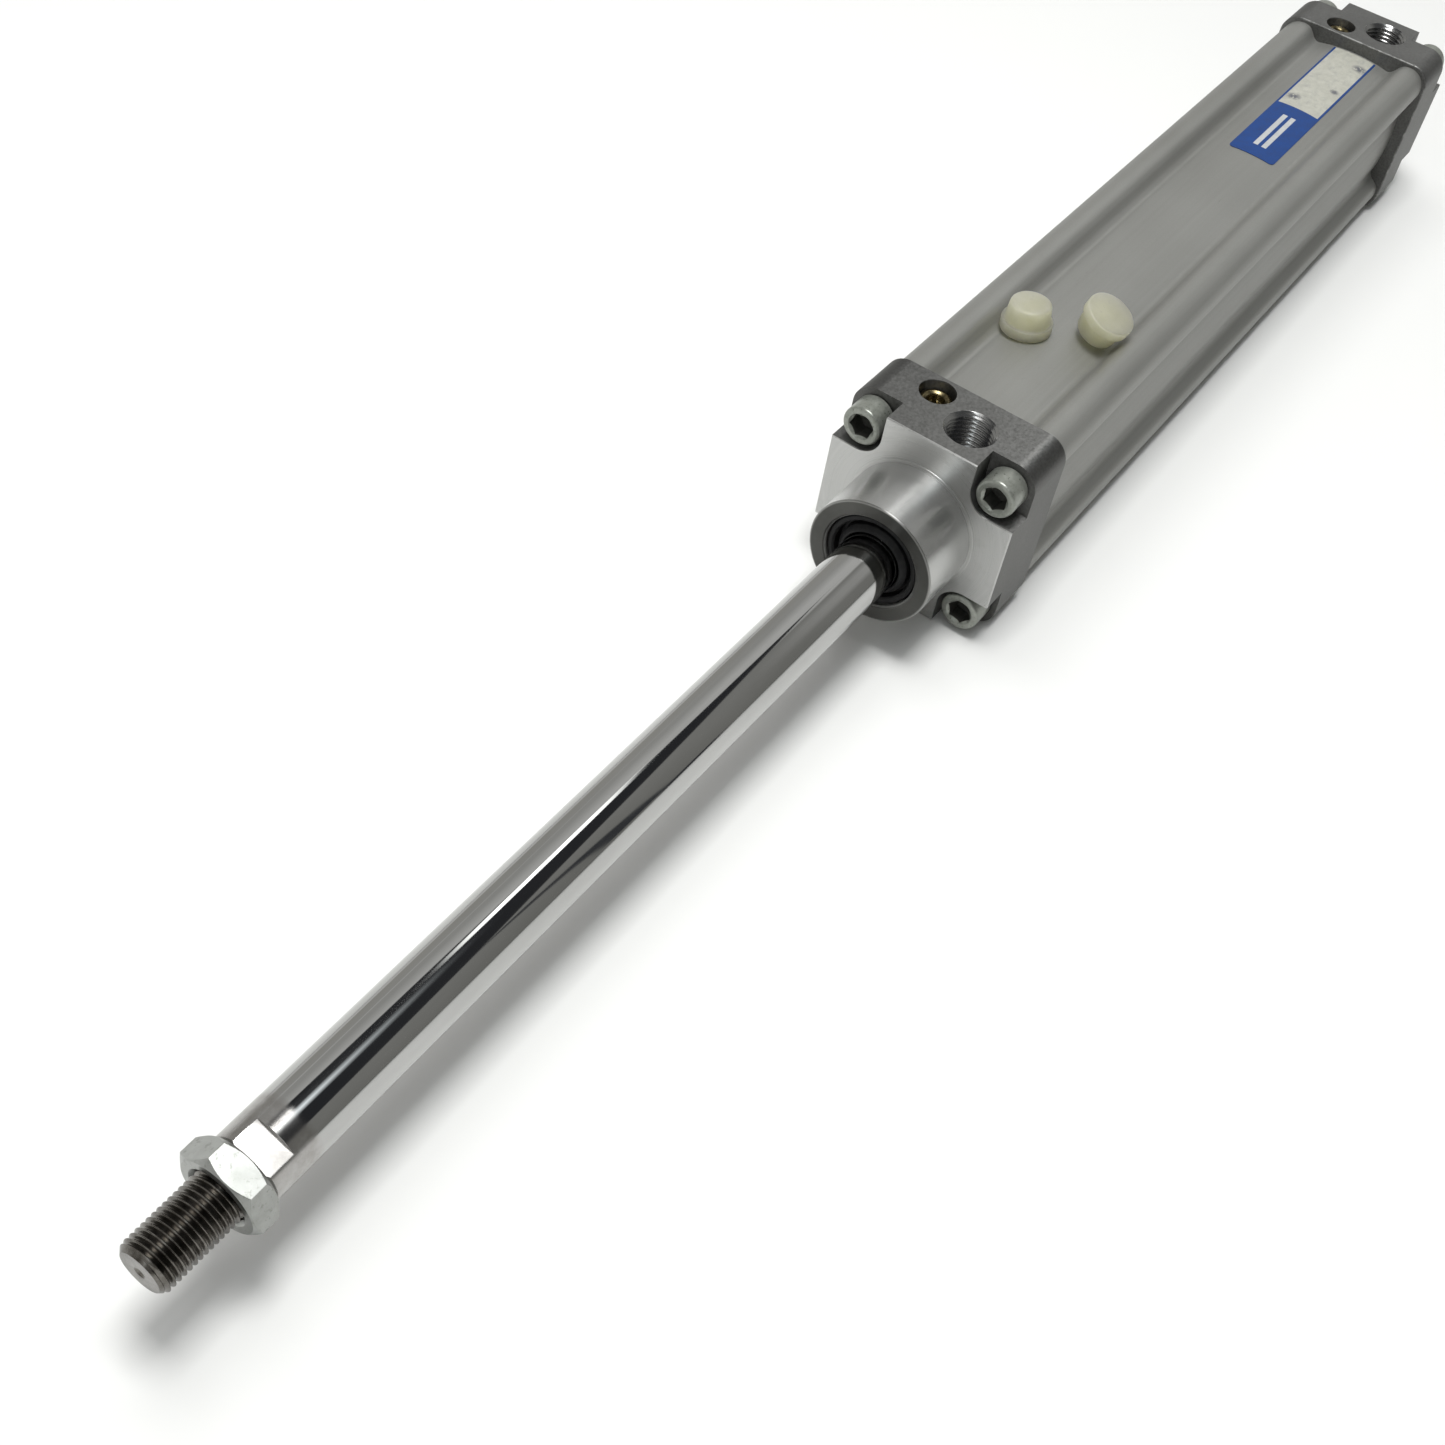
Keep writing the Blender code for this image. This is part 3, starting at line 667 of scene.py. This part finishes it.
def label_material(low, high, split):
    """Blue vinyl with a worn, smudged white field up to the split and two plain light bars."""
    s = Shader("label_print")
    s.set(s.shader, "Specular IOR Level", 0.2)
    wear = s.noise(420, 6, 0.7)
    x, y = s.axis("X"), s.axis("Y")
    middle = 0.5 * (low[1] + high[1])
    soft, margin = 0.03 * MM, 0.7 * MM
    near, far = 0.6 * MM, 2.2 * MM  # the edges of a bar, from the middle

    def strip(value, start, end):
        return s.times(s.step(value, start - soft, start + soft), s.step(value, end + soft, end - soft))

    field = s.times(strip(y, low[1] + margin, high[1] - margin), strip(x, -1.0, split))
    bars = s.math("ADD", strip(y, middle - far, middle - near), strip(y, middle + near, middle + far))
    bars = s.times(bars, strip(x, high[0] - 30.5 * MM, high[0] - 6.5 * MM))

    white = s.ramp(wear, (0.33, 0.327, 0.285), (0.44, 0.436, 0.385))
    smears = s.ramp(s.noise(230, 7, 0.75, s.stretched((1, 2.2, 2.2))), 0.0, 1.0, 0.50, 0.66)
    white = s.mix(s.times(smears, 0.4), white, (0.235, 0.24, 0.235))
    smudges = (
        (split - 6.5 * MM, low[1] + 3.1 * MM, 2.8 * MM),
        (low[0] + 8.0 * MM, high[1] - 2.8 * MM, 3.0 * MM),
        (split - 20.0 * MM, high[1] - 3.2 * MM, 1.8 * MM),
    )
    spots = 0.0
    for spot_x, spot_y, size in smudges:
        spot = s.step(s.from_upright(spot_x, spot_y), size, size * 0.3)
        spots = s.math("MAXIMUM", spots, spot)
    spots = s.times(spots, s.ramp(s.noise(800, 4, 0.7), 0.0, 1.0, 0.38, 0.48))
    white = s.mix(s.times(spots, 0.85), white, (0.05, 0.055, 0.08))
    blue = s.ramp(wear, (0.005, 0.032, 0.14), (0.010, 0.05, 0.205))
    pale = s.ramp(wear, (0.36, 0.37, 0.38), (0.46, 0.465, 0.47))
    s.colour(s.mix(field, s.mix(bars, blue, pale), white))
    s.rough(s.ramp(wear, 0.34, 0.5))
    s.bump(wear, 0.05, 0.01)
    return s.material


# ---------------- barrel

def smooth_between(p0, p1, p2, p3, t):
    """A point between p1 and p2 on a smooth curve through four points."""
    slope = (p2 - p0) * t
    bend = (2 * p0 - 5 * p1 + 4 * p2 - p3) * t * t
    twist = (3 * p1 - p0 - 3 * p2 + p3) * t**3
    return tuple(0.5 * (2 * p1 + slope + bend + twist))


def barrel_outline():
    """The extrusion's outline: one eighth smoothed between its guide points, then repeated."""
    guides = []
    for step in range(5):
        across = 11.2 * step / 4
        guides.append((across, SIDE_HEIGHT - SIDE_RADIUS + math.sqrt(SIDE_RADIUS**2 - across**2)))
    guides += [(12.3, 21.15), (13.2, 21.25), (14.3, 21.95), (15.2, 23.0), (16.1, 24.1)]  # groove
    guides += arc((19.3, 19.3), 6.0, 110, 45, 4)  # corner lobe
    ends = [(-guides[1][0], guides[1][1])] + guides + [(guides[-2][1], guides[-2][0])]
    eighth = []
    for i in range(1, len(ends) - 2):
        corners = [Vector(ends[i + k]) for k in (-1, 0, 1, 2)]
        eighth += [smooth_between(*corners, k / 4) for k in range(4)]
    eighth.append(guides[-1])
    quarter = eighth + [(z, y) for y, z in reversed(eighth[1:-1])]
    points = []
    for turn in range(4):
        cosine, sine = math.cos(-math.pi / 2 * turn), math.sin(-math.pi / 2 * turn)
        points += [(y * cosine - z * sine, y * sine + z * cosine) for y, z in quarter]
    return points[::-1]


def make_barrel():
    """The profile tube, with its bore and four screw channels cut through."""
    gap = 0.05
    front = FACE - CAP_LENGTH - gap
    rear = FACE - BODY_LENGTH + CAP_LENGTH + gap
    outline = barrel_outline()
    barrel = stacked("barrel_profile", [(rear, outline), (front, outline)], 24)

    def drill(radius, steps, y=0.0, z=0.0):
        profile = ((0, 5), (radius, 5), (radius, -BODY_LENGTH - 5), (0, -BODY_LENGTH - 5))
        return turned("drill", profile, steps, y=y, z=z)

    channels = [drill(SCREW_HOLE, 32, y, z) for y, z in screw_places()]
    boolean(barrel, [drill(BORE_RADIUS, 128)] + channels)
    mesh = release(barrel)
    mesh.shade_smooth()
    mesh.set_sharp_from_angle(angle=math.radians(24))
    link("barrel_profile", mesh, "housing", anodised(), ["barrel"])


# ---------------- caps

def port_thread(x):
    """A closed plug shaped like a G1/4 thread with a countersink, which cuts the port."""
    minor, major, pitch = 5.85, 6.5, 1.337
    low, high = 14.5, HALF + 0.6

    def radius_at(phase, height):
        sink = major + (height - (HALF - 0.5)) * 1.2
        if height in (low, high):
            return max(minor, sink)
        ridge = (abs(phase - 0.5) * 2 - 0.12) / 0.76
        return max(minor + (major - minor) * max(0.0, min(1.0, ridge)), sink)

    points = []
    faces, top, bottom = helix(points, radius_at, pitch, low, high)
    above, below = add_rings(points, [(0, high), (0, low)], THREAD_STEPS)
    faces += skin([above, top]) + skin([bottom, below])
    return helper("port_cut", to_mesh("port_cut", raised(points, x, PORT_OFFSET), faces, welded=True))


def cap_block(name, face, sign):
    """A cap's square block with broken edges."""
    edge = 0.35
    near = [(0.0, edge), (edge * 0.4, edge * 0.35), (edge, 0.0)]
    far = [(CAP_LENGTH - inward, shrink) for inward, shrink in reversed(near)]
    levels = []
    for inward, shrink in near + far:
        levels.append((face - sign * inward, rounded_square(HALF - shrink, CAP_CORNER - shrink)))
    levels.sort(key=lambda level: level[0])
    return stacked(name, levels)


def cap_core(front):
    """The neck or spigot outside the block and the round shoulder inside the barrel."""
    nose = NECK_LENGTH if front else SPIGOT_LENGTH
    collar, collar_height, block_middle = 18.25, 0.22, -12
    core = [
        (0, nose), (NECK_RADIUS, nose), (NECK_RADIUS, collar_height), (collar, collar_height),
        (collar, block_middle), (SEALING_RADIUS, block_middle), (SEALING_RADIUS, SEALING_END),
        (0, SEALING_END),
    ]
    return rounded(core, [0, 0.45, 0, 0.12, 0, 0, 0.4, 0])


def cap_hollow(front):
    """The way through for the rod, the cushion chamber and the groove of its seal."""
    chamber, groove, end = 11.5, 12.5, SEALING_END - 1.8
    if front:
        wiper_seat, bearing_seat, step = 13.0, 10.3, 13.5
        way_in = [
            (0, NECK_LENGTH + 1), (wiper_seat + 0.6, NECK_LENGTH + 1),
            (wiper_seat + 0.6, NECK_LENGTH - 0.02), (wiper_seat, NECK_LENGTH - 0.6),
            (wiper_seat, step), (bearing_seat, step), (bearing_seat, -12.5), (chamber, -12.5),
        ]
    else:
        way_in = [(0, -13.5), (chamber, -13.5)]
    seal = [(chamber, -28.9), (groove, -28.9), (groove, -34.1), (chamber, -34.1)]
    return way_in + seal + [(chamber, end), (0, end)]


def cushion_bore():
    """The hole over a cushion screw, from its chamfered mouth down to the needle's passage."""
    mouth, head, seat, thread, tip, passage, bottom = HALF - 0.35, 4.8, 19.8, 3.0, 11.8, 1.3, 9.5
    return [
        (0, HALF + 1), (head + 0.4, HALF + 1), (head, mouth), (head, seat), (thread, seat),
        (thread, tip), (passage, tip), (passage, bottom), (0, bottom),
    ]


def make_cap(front):
    """A cap's block, neck or spigot, pockets, screw holes, threaded port and cushion hole."""
    end = "front" if front else "rear"
    name = end + "_cap_body"
    face, sign = cap_face(front)
    way = {"face": face, "flip": not front}
    cap = cap_block(name, face, sign)
    boolean(cap, [turned("core", cap_core(front), 128, **way)], "UNION")

    tools = [turned("hollow", cap_hollow(front), 96, **way)]
    beyond = 2 * POCKET_RADIUS
    for y, z in screw_places():
        hole = ((0, 1), (SCREW_HOLE, 1), (SCREW_HOLE, -26), (0, -26))
        tools.append(turned("hole", hole, 32, y=y, z=z, **way))
        right, up = math.copysign(1, y), math.copysign(1, z)
        local = arc((0, 0), POCKET_RADIUS, 180, 270, 14)
        local += [(beyond, -POCKET_RADIUS), (beyond, beyond), (-POCKET_RADIUS, beyond)]
        outline = [(y + right * a, z + up * b) for a, b in local]
        if right * up < 0:
            outline.reverse()
        low, high = sorted((face + sign, face - sign * POCKET_DEPTH))
        tools.append(stacked("pocket", [(low, outline), (high, outline)]))
    boolean(cap, tools)

    x_port, x_cushion = face - sign * PORT_STATION, face - sign * CUSHION_STATION
    cushion_hole = upright("cushion_cut", cushion_bore(), x_cushion, CUSHION_OFFSET)
    boolean(cap, [port_thread(x_port), cushion_hole])
    soften(cap, 0.16, spared=(x_port, PORT_OFFSET, 7.4))
    link(name, release(cap), "housing", cast_cap(front), [end + "_cap"])


def make_cap_screws(front, material, recess_shade):
    """Socket head screws, with rounded heads and real hexagon sockets."""
    way = {"face": cap_face(front)[0], "flip": not front}
    top, under, tip, head_radius, shank = -0.5, -7.55, -24.0, 5.4, 3.0
    head = [(0, top), (head_radius, top), (head_radius, under), (shank, under), (shank, tip), (0, tip)]
    head = rounded(head, [0, 0.95, 0.2, 0, 0.3, 0])
    corner = 3.46  # from a socket's middle to its corners
    socket = [(0, 1.0), (corner, 1.0), (corner, -5.4), (0, -6.2)]
    chamfer = [(0, 1.0), (5.4, 1.0), (3.1, -1.05), (0, -1.05)]
    socket_turns = (11, 32, 47, 5)
    for number, ((y, z), degrees) in enumerate(zip(screw_places(), socket_turns), start=1):
        name = f"{'front' if front else 'rear'}_cap_screw_{number}"
        screw = turned(name + "_body", head, 64, y=y, z=z, **way)
        cosine, sine = math.cos(math.radians(degrees)), math.sin(math.radians(degrees))
        points, faces = lathe_data(socket, 6)
        points = [(x, a * cosine - b * sine, a * sine + b * cosine) for x, a, b in points]
        if not front:
            faces = [corners[::-1] for corners in faces]
        hexagon = helper("socket", to_mesh("socket", placed(points, y=y, z=z, **way), faces))
        cone = turned("chamfer", chamfer, 48, y=y, z=z, **way)
        screw.data.materials.append(material)
        # The socket's faces take the dark material, painted shade inside the socket
        hexagon.data.materials.append(recess_shade)
        boolean(screw, [hexagon, cone])
        soften(screw, 0.08, 50)
        link(name + "_head", release(screw), "housing", material, [name])


def make_wiper(material):
    """Rod wiper: a thin lip on the rod, a groove, a low ring, a second groove and the outer ring."""
    back = 13.8
    profile = [
        (8.12, 18.6), (8.35, 19.3), (8.7, 19.35), (9.9, 18.0), (9.9, 15.6), (10.9, 15.6),
        (11.0, 18.2), (11.5, 18.7), (12.4, 18.7), (12.75, 18.3), (12.75, back), (8.9, back),
        (8.9, 16.8),
    ]
    radii = [0.05, 0.1, 0.2, 0.4, 0.3, 0.3, 0.2, 0.2, 0.2, 0.2, 0, 0, 0]
    wiper = turned("wiper", rounded(profile, radii, closed=True), closed=True)
    link("rod_wiper_lips", release(wiper), "housing", material, ["rod_wiper"])


def make_cushion_screw(front, material):
    """Slotted brass needle screw down in its hole."""
    face, sign = cap_face(front)
    x = face - sign * CUSHION_STATION
    head, thread, groove = 4.5, 2.75, 1.9
    profile = [
        (0, 22.3), (1.9, 22.3), (2.4, 23.9), (3.3, 24.4), (4.2, 24.1), (head, 23.2),  # raised ring
        (head, 20.2), (thread, 20.2), (thread, 17.4), (groove, 17.4), (groove, 15.2),
        (thread, 15.2), (thread, 14.2), (0.7, 11.6), (0, 11.6),
    ]
    profile = rounded(profile, [0, 0.2, 0.5, 0.5, 0.5, 0.4, 0.2, 0.1, 0, 0, 0, 0, 0, 0.1, 0])
    screw = upright("cushion", profile, x, CUSHION_OFFSET)
    half_length, half_width, low, high = 2.1, 0.6, 21.2, 23.2
    outline = [(-half_width, low), (half_width, low), (half_width, high), (-half_width, high)]
    slot = stacked("slot", [(-half_length, outline), (half_length, outline)])
    slot.data.transform(Matrix.Rotation(math.radians(35), 4, "Z"))
    slot.data.transform(Matrix.Translation((x * MM, CUSHION_OFFSET * MM, 0)))
    boolean(screw, [slot])
    soften(screw, 0.07, 50)
    name = f"{'front' if front else 'rear'}_cushion_screw"
    link(name + "_needle", release(screw), name, material, [name])


# ---------------- rod and nut

def turn_about_axis(mesh):
    """Turns a mesh about the cylinder's axis to the angle of the rod's flats."""
    middle = Vector((0, 0, AXIS * MM))
    turn = Matrix.Rotation(-ROD_ANGLE, 4, "X")
    mesh.transform(Matrix.Translation(middle) @ turn @ Matrix.Translation(-middle))


def make_rod(material):
    """Chromed rod with wrench flats, a shoulder and a rolled M12 x 1.25 thread."""
    start, end = ROD_SHOULDER, ROD_TIP
    root, crest, tip, pitch = 5.22, 5.96, 4.75, 1.25
    neck, run_in = 0.4, 1.2  # lengths without and with a growing thread, near the shoulder

    def radius_at(phase, station):
        if station - start < neck:
            return root
        ridge = 1.0 - max(0.0, min(1.0, (abs(phase - 0.5) * 2 - 0.10) / 0.80))
        grown = min(1.0, max(0.0, (station - start - run_in) / run_in))
        return min(root + (crest - root) * ridge * grown, tip + (end - station))

    points = []
    faces, top, bottom = helix(points, radius_at, pitch, start, end)
    nose = rounded([(0, end - 1.1), (1.35, end), (tip, end)], [0, 0.2, 0])  # with a centre hole
    faces += skin(add_rings(points, nose[:-1], THREAD_STEPS) + [top])
    piston_seat, inner_end = 5.0, -84.0
    shaft = [
        (ROD_RADIUS - 0.5, start), (ROD_RADIUS, start - 0.5), (ROD_RADIUS, SEALING_END),
        (piston_seat, SEALING_END), (piston_seat, inner_end + 0.6), (piston_seat - 0.6, inner_end),
        (0, inner_end),
    ]
    shaft = rounded(shaft, [0, 0.1, 0, 0, 0, 0, 0])
    faces += skin([bottom] + add_rings(points, shaft, THREAD_STEPS))
    rod = helper("rod", to_mesh("rod", placed(points), faces, 35, welded=True))
    tools = []
    low, high, beyond = FACE + start - FLAT_LENGTH, FACE + start + 1, 12
    for way in (1, -1):
        near, far = sorted((way * FLAT_DISTANCE, way * beyond))
        outline = [(-beyond, near), (beyond, near), (beyond, far), (-beyond, far)]
        flat = stacked("flat", [(low, outline), (high, outline)])
        turn_about_axis(flat.data)
        tools.append(flat)
    boolean(rod, tools)
    mesh = release(rod)
    mesh.shade_smooth()
    mesh.set_sharp_from_angle(angle=math.radians(35))
    link("rod_with_thread", mesh, "rod", material, ["piston_rod"])


def make_nut(material):
    """Thin hexagon nut with turned chamfers and a plain bore."""
    low, high = ROD_SHOULDER + 0.3, ROD_SHOULDER + 6.6
    corner = 9.0 / math.cos(math.radians(30))
    outline = arc((0, 0), corner, 0, 300, 5)
    nut = stacked("nut", [(FACE + low, outline), (FACE + high, outline)])
    turn_about_axis(nut.data)
    rim, beyond, sink, bore = 8.75, 11.0, 6.9, 6.1
    slope = (beyond - rim) * math.tan(math.radians(38))
    cone = [
        (sink, high), (rim, high), (beyond, high - slope), (beyond, low + slope), (rim, low),
        (sink, low), (bore, low + sink - bore), (bore, high - sink + bore),
    ]
    boolean(nut, [turned("cone", cone, closed=True)], "INTERSECT")
    soften(nut, 0.12, 25, 3, 50)
    link("rod_nut_hexagon", release(nut), "rod_nut", material, ["rod_nut"])


# ---------------- label and plugs

def make_label():
    """Thin vinyl bent to the barrel, with round corners at its blue end."""
    low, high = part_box("name_label")
    inner, thickness, centre = SIDE_RADIUS + 0.06, 0.12, AXIS + SIDE_HEIGHT - SIDE_RADIUS
    x_low, x_high = low[0] / MM, high[0] / MM
    y_low, y_high = low[1] / MM, high[1] / MM
    columns, corner, sweep = 24, 1.6, math.radians(80)
    stations = [(x_low + (x_high - corner - x_low) * i / 40, 0.0) for i in range(41)]
    for i in range(1, 9):
        angle = sweep * i / 8
        x = x_high - corner + corner * math.sin(angle) / math.sin(sweep)
        stations.append((x, corner * (1 - math.cos(angle))))
    rows = len(stations) - 1
    points, faces = [], []
    for radius in (inner, inner + thickness):
        for x, inset in stations:
            for k in range(columns + 1):
                y = y_low + inset + (y_high - y_low - 2 * inset) * k / columns
                points.append((x, y, centre + math.sqrt(radius**2 - y**2)))
    width = columns + 1
    layer_size = (rows + 1) * width
    for i in range(rows):
        for k in range(columns):
            a = i * width + k
            b = a + width
            faces.append([c + layer_size for c in (a, b, b + 1, a + 1)])
            faces.append([a, a + 1, b + 1, b])
    border = list(range(width))
    border += [i * width + columns for i in range(1, rows + 1)]
    border += [rows * width + k for k in range(columns - 1, -1, -1)]
    border += [i * width for i in range(rows - 1, 0, -1)]
    for a, b in zip(border, border[1:] + border[:1]):
        faces.append([a + layer_size, b + layer_size, b, a])
    blue_length = 37.4
    material = label_material(low, high, (x_high - blue_length) * MM)
    mesh = to_mesh("label_sheet", points, faces, 60)
    link("label_sheet", mesh, "housing", material, ["name_label"])


def make_plug(name, node, body, foot, degrees, flange_down, material):
    """Stepped push-in plug with soft moulded edges, tilted about the middle of its foot."""
    height, stem, flange, step = 8.2, 6.2, 7.0, 3.0
    profile = [(0, height), (5.5, height), (stem, step), (flange, step), (flange, 0.0), (0, 0.0)]
    profile = rounded(profile, [0, 1.0, 0.35, 0.5, 0.6, 0], steps=6)
    if not flange_down:
        profile = [(radius, height - level) for radius, level in reversed(profile)]
    points, faces = lathe_data(profile, 64)
    mesh = to_mesh(name, [(p[1], p[2], p[0]) for p in points], faces, 60)
    tilt = Matrix.Rotation(math.radians(degrees), 4, "X")
    mesh.transform(Matrix.Translation(Vector(foot) * MM) @ tilt)
    link(name, mesh, body, material, [node])


# ---------------- build

zinc_metal, black, brass_metal, plastic = zinc(), rubber(), brass(), polyethylene()
# Dark material for the screws' hexagon sockets: painted shade in the recess
socket_painted_shade = plain("socket_painted_shade", (0.10, 0.10, 0.09), 0.35, 0.6, 0.4)
make_barrel()
for is_front in (True, False):
    make_cap(is_front)
    make_cap_screws(is_front, zinc_metal, socket_painted_shade)
    make_cushion_screw(is_front, brass_metal)
make_wiper(black)
make_rod(chrome())
make_nut(zinc_nut())
make_label()
foot = (FACE - 63.0, -7.4, AXIS + 22.6)
make_plug("upright_plug", "standing_port_plug", "standing_plug", foot, 2.0, True, plastic)
foot = (FACE - 73.4, 7.9, AXIS + 23.8)
make_plug("tilted_plug", "leaning_port_plug", "leaning_plug", foot, -20.7, False, plastic)

# The pieces inside keep their CAD shapes
inner_looks = {
    "turned_aluminium": plain("turned_inner", (0.62, 0.63, 0.65), 0.3, 1.0),
    "bronze": plain("bush_bronze", (0.45, 0.31, 0.16), 0.45, 1.0),
    "black_rubber": black,
    "white_bearing_plastic": plain("guide_plastic", (0.75, 0.73, 0.66), 0.5, 0.0),
    "ferrite": plain("magnet_ferrite", (0.08, 0.08, 0.09), 0.7, 0.1),
    "plain_steel": plain("oiled_steel", (0.38, 0.38, 0.39), 0.38, 1.0),
}
for entry in frame["record"]["subparts"]:
    look = inner_looks.get(entry["material_slot"])
    node = frame["nodes"][entry["node"]]
    if look and not node.hide_render:
        for slot in node.material_slots:
            slot.material = look


# ---------------- floor, light, camera

def make_floor():
    """A plain pale matt floor, in metres."""
    half, height = 6.0, -0.0002
    mesh = bpy.data.meshes.new("floor")
    corners = ((-half, -half), (half, -half), (half, half), (-half, half))
    mesh.from_pydata([(x, y, height) for x, y in corners], [], [(0, 1, 2, 3)])
    material = bpy.data.materials.new("floor")
    material.use_nodes = True
    nodes = material.node_tree.nodes
    nodes.remove(nodes["Principled BSDF"])
    diffuse = nodes.new("ShaderNodeBsdfDiffuse")
    diffuse.inputs["Color"].default_value = (0.755, 0.755, 0.745, 1.0)
    material.node_tree.links.new(diffuse.outputs[0], nodes["Material Output"].inputs["Surface"])
    mesh.materials.append(material)
    obj = helper("floor", mesh)


def area_light(name, place, target, size, radiance, in_reflections=False):
    """A rectangular light of a stated radiance, so that its size and its brightness are apart.
    Places and sizes are in metres."""
    data = bpy.data.lights.new(name, "AREA")
    data.shape = "RECTANGLE"
    data.size, data.size_y = size
    data.energy = radiance * math.pi * data.size * data.size_y
    data.color = (1.0, 1.0, 0.99)
    lamp = helper(name, data)
    lamp.location = place
    lamp.rotation_euler = (Vector(target) - Vector(place)).to_track_quat("-Z", "Y").to_euler()
    lamp.visible_glossy = in_reflections


class Studio(Shader):
    """The room round the object, for light and reflections. A direction is read as x along the
    cylinder, from -1 to 1, and a turn about it in degrees, 0 straight up."""

    def __init__(self):
        self.world = bpy.data.worlds.new("studio")
        self.world.use_nodes = True
        self.tree = self.world.node_tree
        self.shader = self.tree.nodes["Background"]
        self.set(self.shader, "Strength", 1.4)
        split = self.node("SeparateXYZ")
        self.link(self.node("TexCoord").outputs["Generated"], split.inputs[0])
        self.x = split.outputs["X"]
        angle = self.math("ARCTAN2", split.outputs["Y"], split.outputs["Z"])
        self.turn = self.times(angle, 180 / math.pi)

    def edge(self, value, reach, points, span):
        """A line through (value, edge) points, over the reach of value and the span of edges."""
        width, height = reach[1] - reach[0], span[1] - span[0]
        fraction = self.math("DIVIDE", self.math("SUBTRACT", value, reach[0]), width)
        node = self.node("FloatCurve")
        curve = node.mapping.curves[0]
        while len(curve.points) < len(points):
            curve.points.new(0.5, 0.5)
        for point, (v, e) in zip(curve.points, points):
            point.location = ((v - reach[0]) / width, (e - span[0]) / height)
            point.handle_type = "VECTOR"
        node.mapping.update()
        self.link(fraction, node.inputs["Value"])
        return self.math("ADD", self.times(node.outputs[0], height), span[0])

    def above(self, value, edge, soft):
        """0 below the edge and 1 above it, with a soft step."""
        return self.step(self.math("SUBTRACT", value, edge), -soft, soft)

    def between(self, value, low, high, soft):
        below = self.above(self.times(value, -1.0), self.times(high, -1.0), soft)
        return self.times(self.above(value, low, soft), below)


def make_studio():
    """Pale walls, a dark ceiling, a dark upright patch to one side, a lamp tube and its halo."""
    s = Studio()
    wall_tones = ((0.0, (0.33, 0.325, 0.305)), (0.6, (0.35, 0.35, 0.34)), (1.0, (0.52, 0.52, 0.51)))
    left_wall = s.stops(s.step(s.turn, -82.0, -20.0), *wall_tones)
    right_wall = s.ramp(s.step(s.turn, 30.0, 92.0), (0.24, 0.24, 0.23), (0.19, 0.19, 0.18), 0.0, 1.0)
    tone = s.mix(s.above(s.turn, 5.0, 3.0), left_wall, right_wall)
    far_glow = s.times(s.between(s.turn, 18.0, 50.0, 8.0), s.step(s.x, -0.62, -0.70))
    tone = s.mix(far_glow, tone, (0.40, 0.40, 0.39))
    tone = s.mix(s.between(s.turn, -180.0, -82.0, 0.6), tone, (0.56, 0.56, 0.55))

    reach, span = (-0.7, -0.3), (-30.0, 60.0)
    upper = (
        (-0.70, -3.3), (-0.662, -3.3), (-0.577, -7.9), (-0.5, -12.0), (-0.41, -18.7),
        (-0.318, -24.5), (-0.3, -26.0),
    )
    lower = (
        (-0.70, -3.5), (-0.662, -3.3), (-0.63, 6.3), (-0.588, 17.9), (-0.552, 24.4),
        (-0.498, 31.4), (-0.44, 41.0), (-0.372, 46.0), (-0.3, 51.0),
    )
    edges = [s.edge(s.x, reach, points, span) for points in (upper, lower)]
    ceiling = s.times(s.between(s.turn, *edges, 0.8), s.between(s.x, -0.668, 0.45, 0.004))
    tone = s.mix(ceiling, tone, (0.026, 0.027, 0.03))

    reach, span = (39.0, 95.0), (-0.6, -0.4)
    near = (
        (39.0, -0.447), (42.9, -0.475), (49.9, -0.498), (57.2, -0.5205), (66.0, -0.539),
        (77.6, -0.554), (95.0, -0.566),
    )
    far = (
        (39.0, -0.440), (46.7, -0.466), (52.5, -0.484), (60.3, -0.50), (69.9, -0.512),
        (81.5, -0.519), (95.0, -0.519),
    )
    edges = [s.edge(s.turn, reach, points, span) for points in (near, far)]
    patch = s.times(s.between(s.x, *edges, 0.002), s.between(s.turn, 40.0, 93.0, 1.0))
    tone = s.mix(patch, tone, (0.04, 0.042, 0.047))

    tube = s.times(s.between(s.turn, -12.0, -2.8, 1.2), s.between(s.x, -0.536, -0.445, 0.02))
    tone = s.mix(tube, tone, (3.2, 3.25, 3.2))
    halo = s.math("POWER", s.step(s.x, -0.47, -0.32), 2.5)
    tone = s.mix(s.times(s.between(s.turn, 2.5, 12.5, 5.0), halo), tone, (1.5, 1.6, 1.65))
    path = s.node("LightPath")
    tone = s.mix(path.outputs["Is Camera Ray"], tone, (0.62, 0.62, 0.61))  # a plain backdrop
    s.link(tone, s.shader.inputs["Color"])
    bpy.context.scene.world = s.world


make_floor()
area_light("overhead_lamp", (0.1, 0.0, 1.3), (0.1, 0.0, 0), (0.4, 0.4), 25.8, True)
area_light("left_lamp", (-0.1, -0.5, 1.3), (0.05, 0.0, 0), (0.5, 0.5), 5.5)
area_light("right_lamp", (0.17, 0.175, 1.2), (0.1, 0.0, 0), (0.67, 0.35), 1.6)
make_studio()
bpy.context.scene.view_settings.view_transform = "Standard"

camera_data = bpy.data.cameras.new("camera")
camera_data.sensor_width = 36.0
camera_data.lens = 46.257
camera = helper("camera", camera_data)
camera_right = Vector((-0.57238514, 0.80987766, 0.12834886))
camera_up = Vector((-0.56369952, -0.50231051, 0.65568819))
camera_back = Vector((0.59549819, 0.30295599, 0.74404272))
rotation = Matrix((camera_right, camera_up, camera_back)).transposed()
camera_place = Vector((FACE + 335.28, 129.41, AXIS + 310.17)) * MM
camera.matrix_world = Matrix.Translation(camera_place) @ rotation.to_4x4()
bpy.context.scene.camera = camera
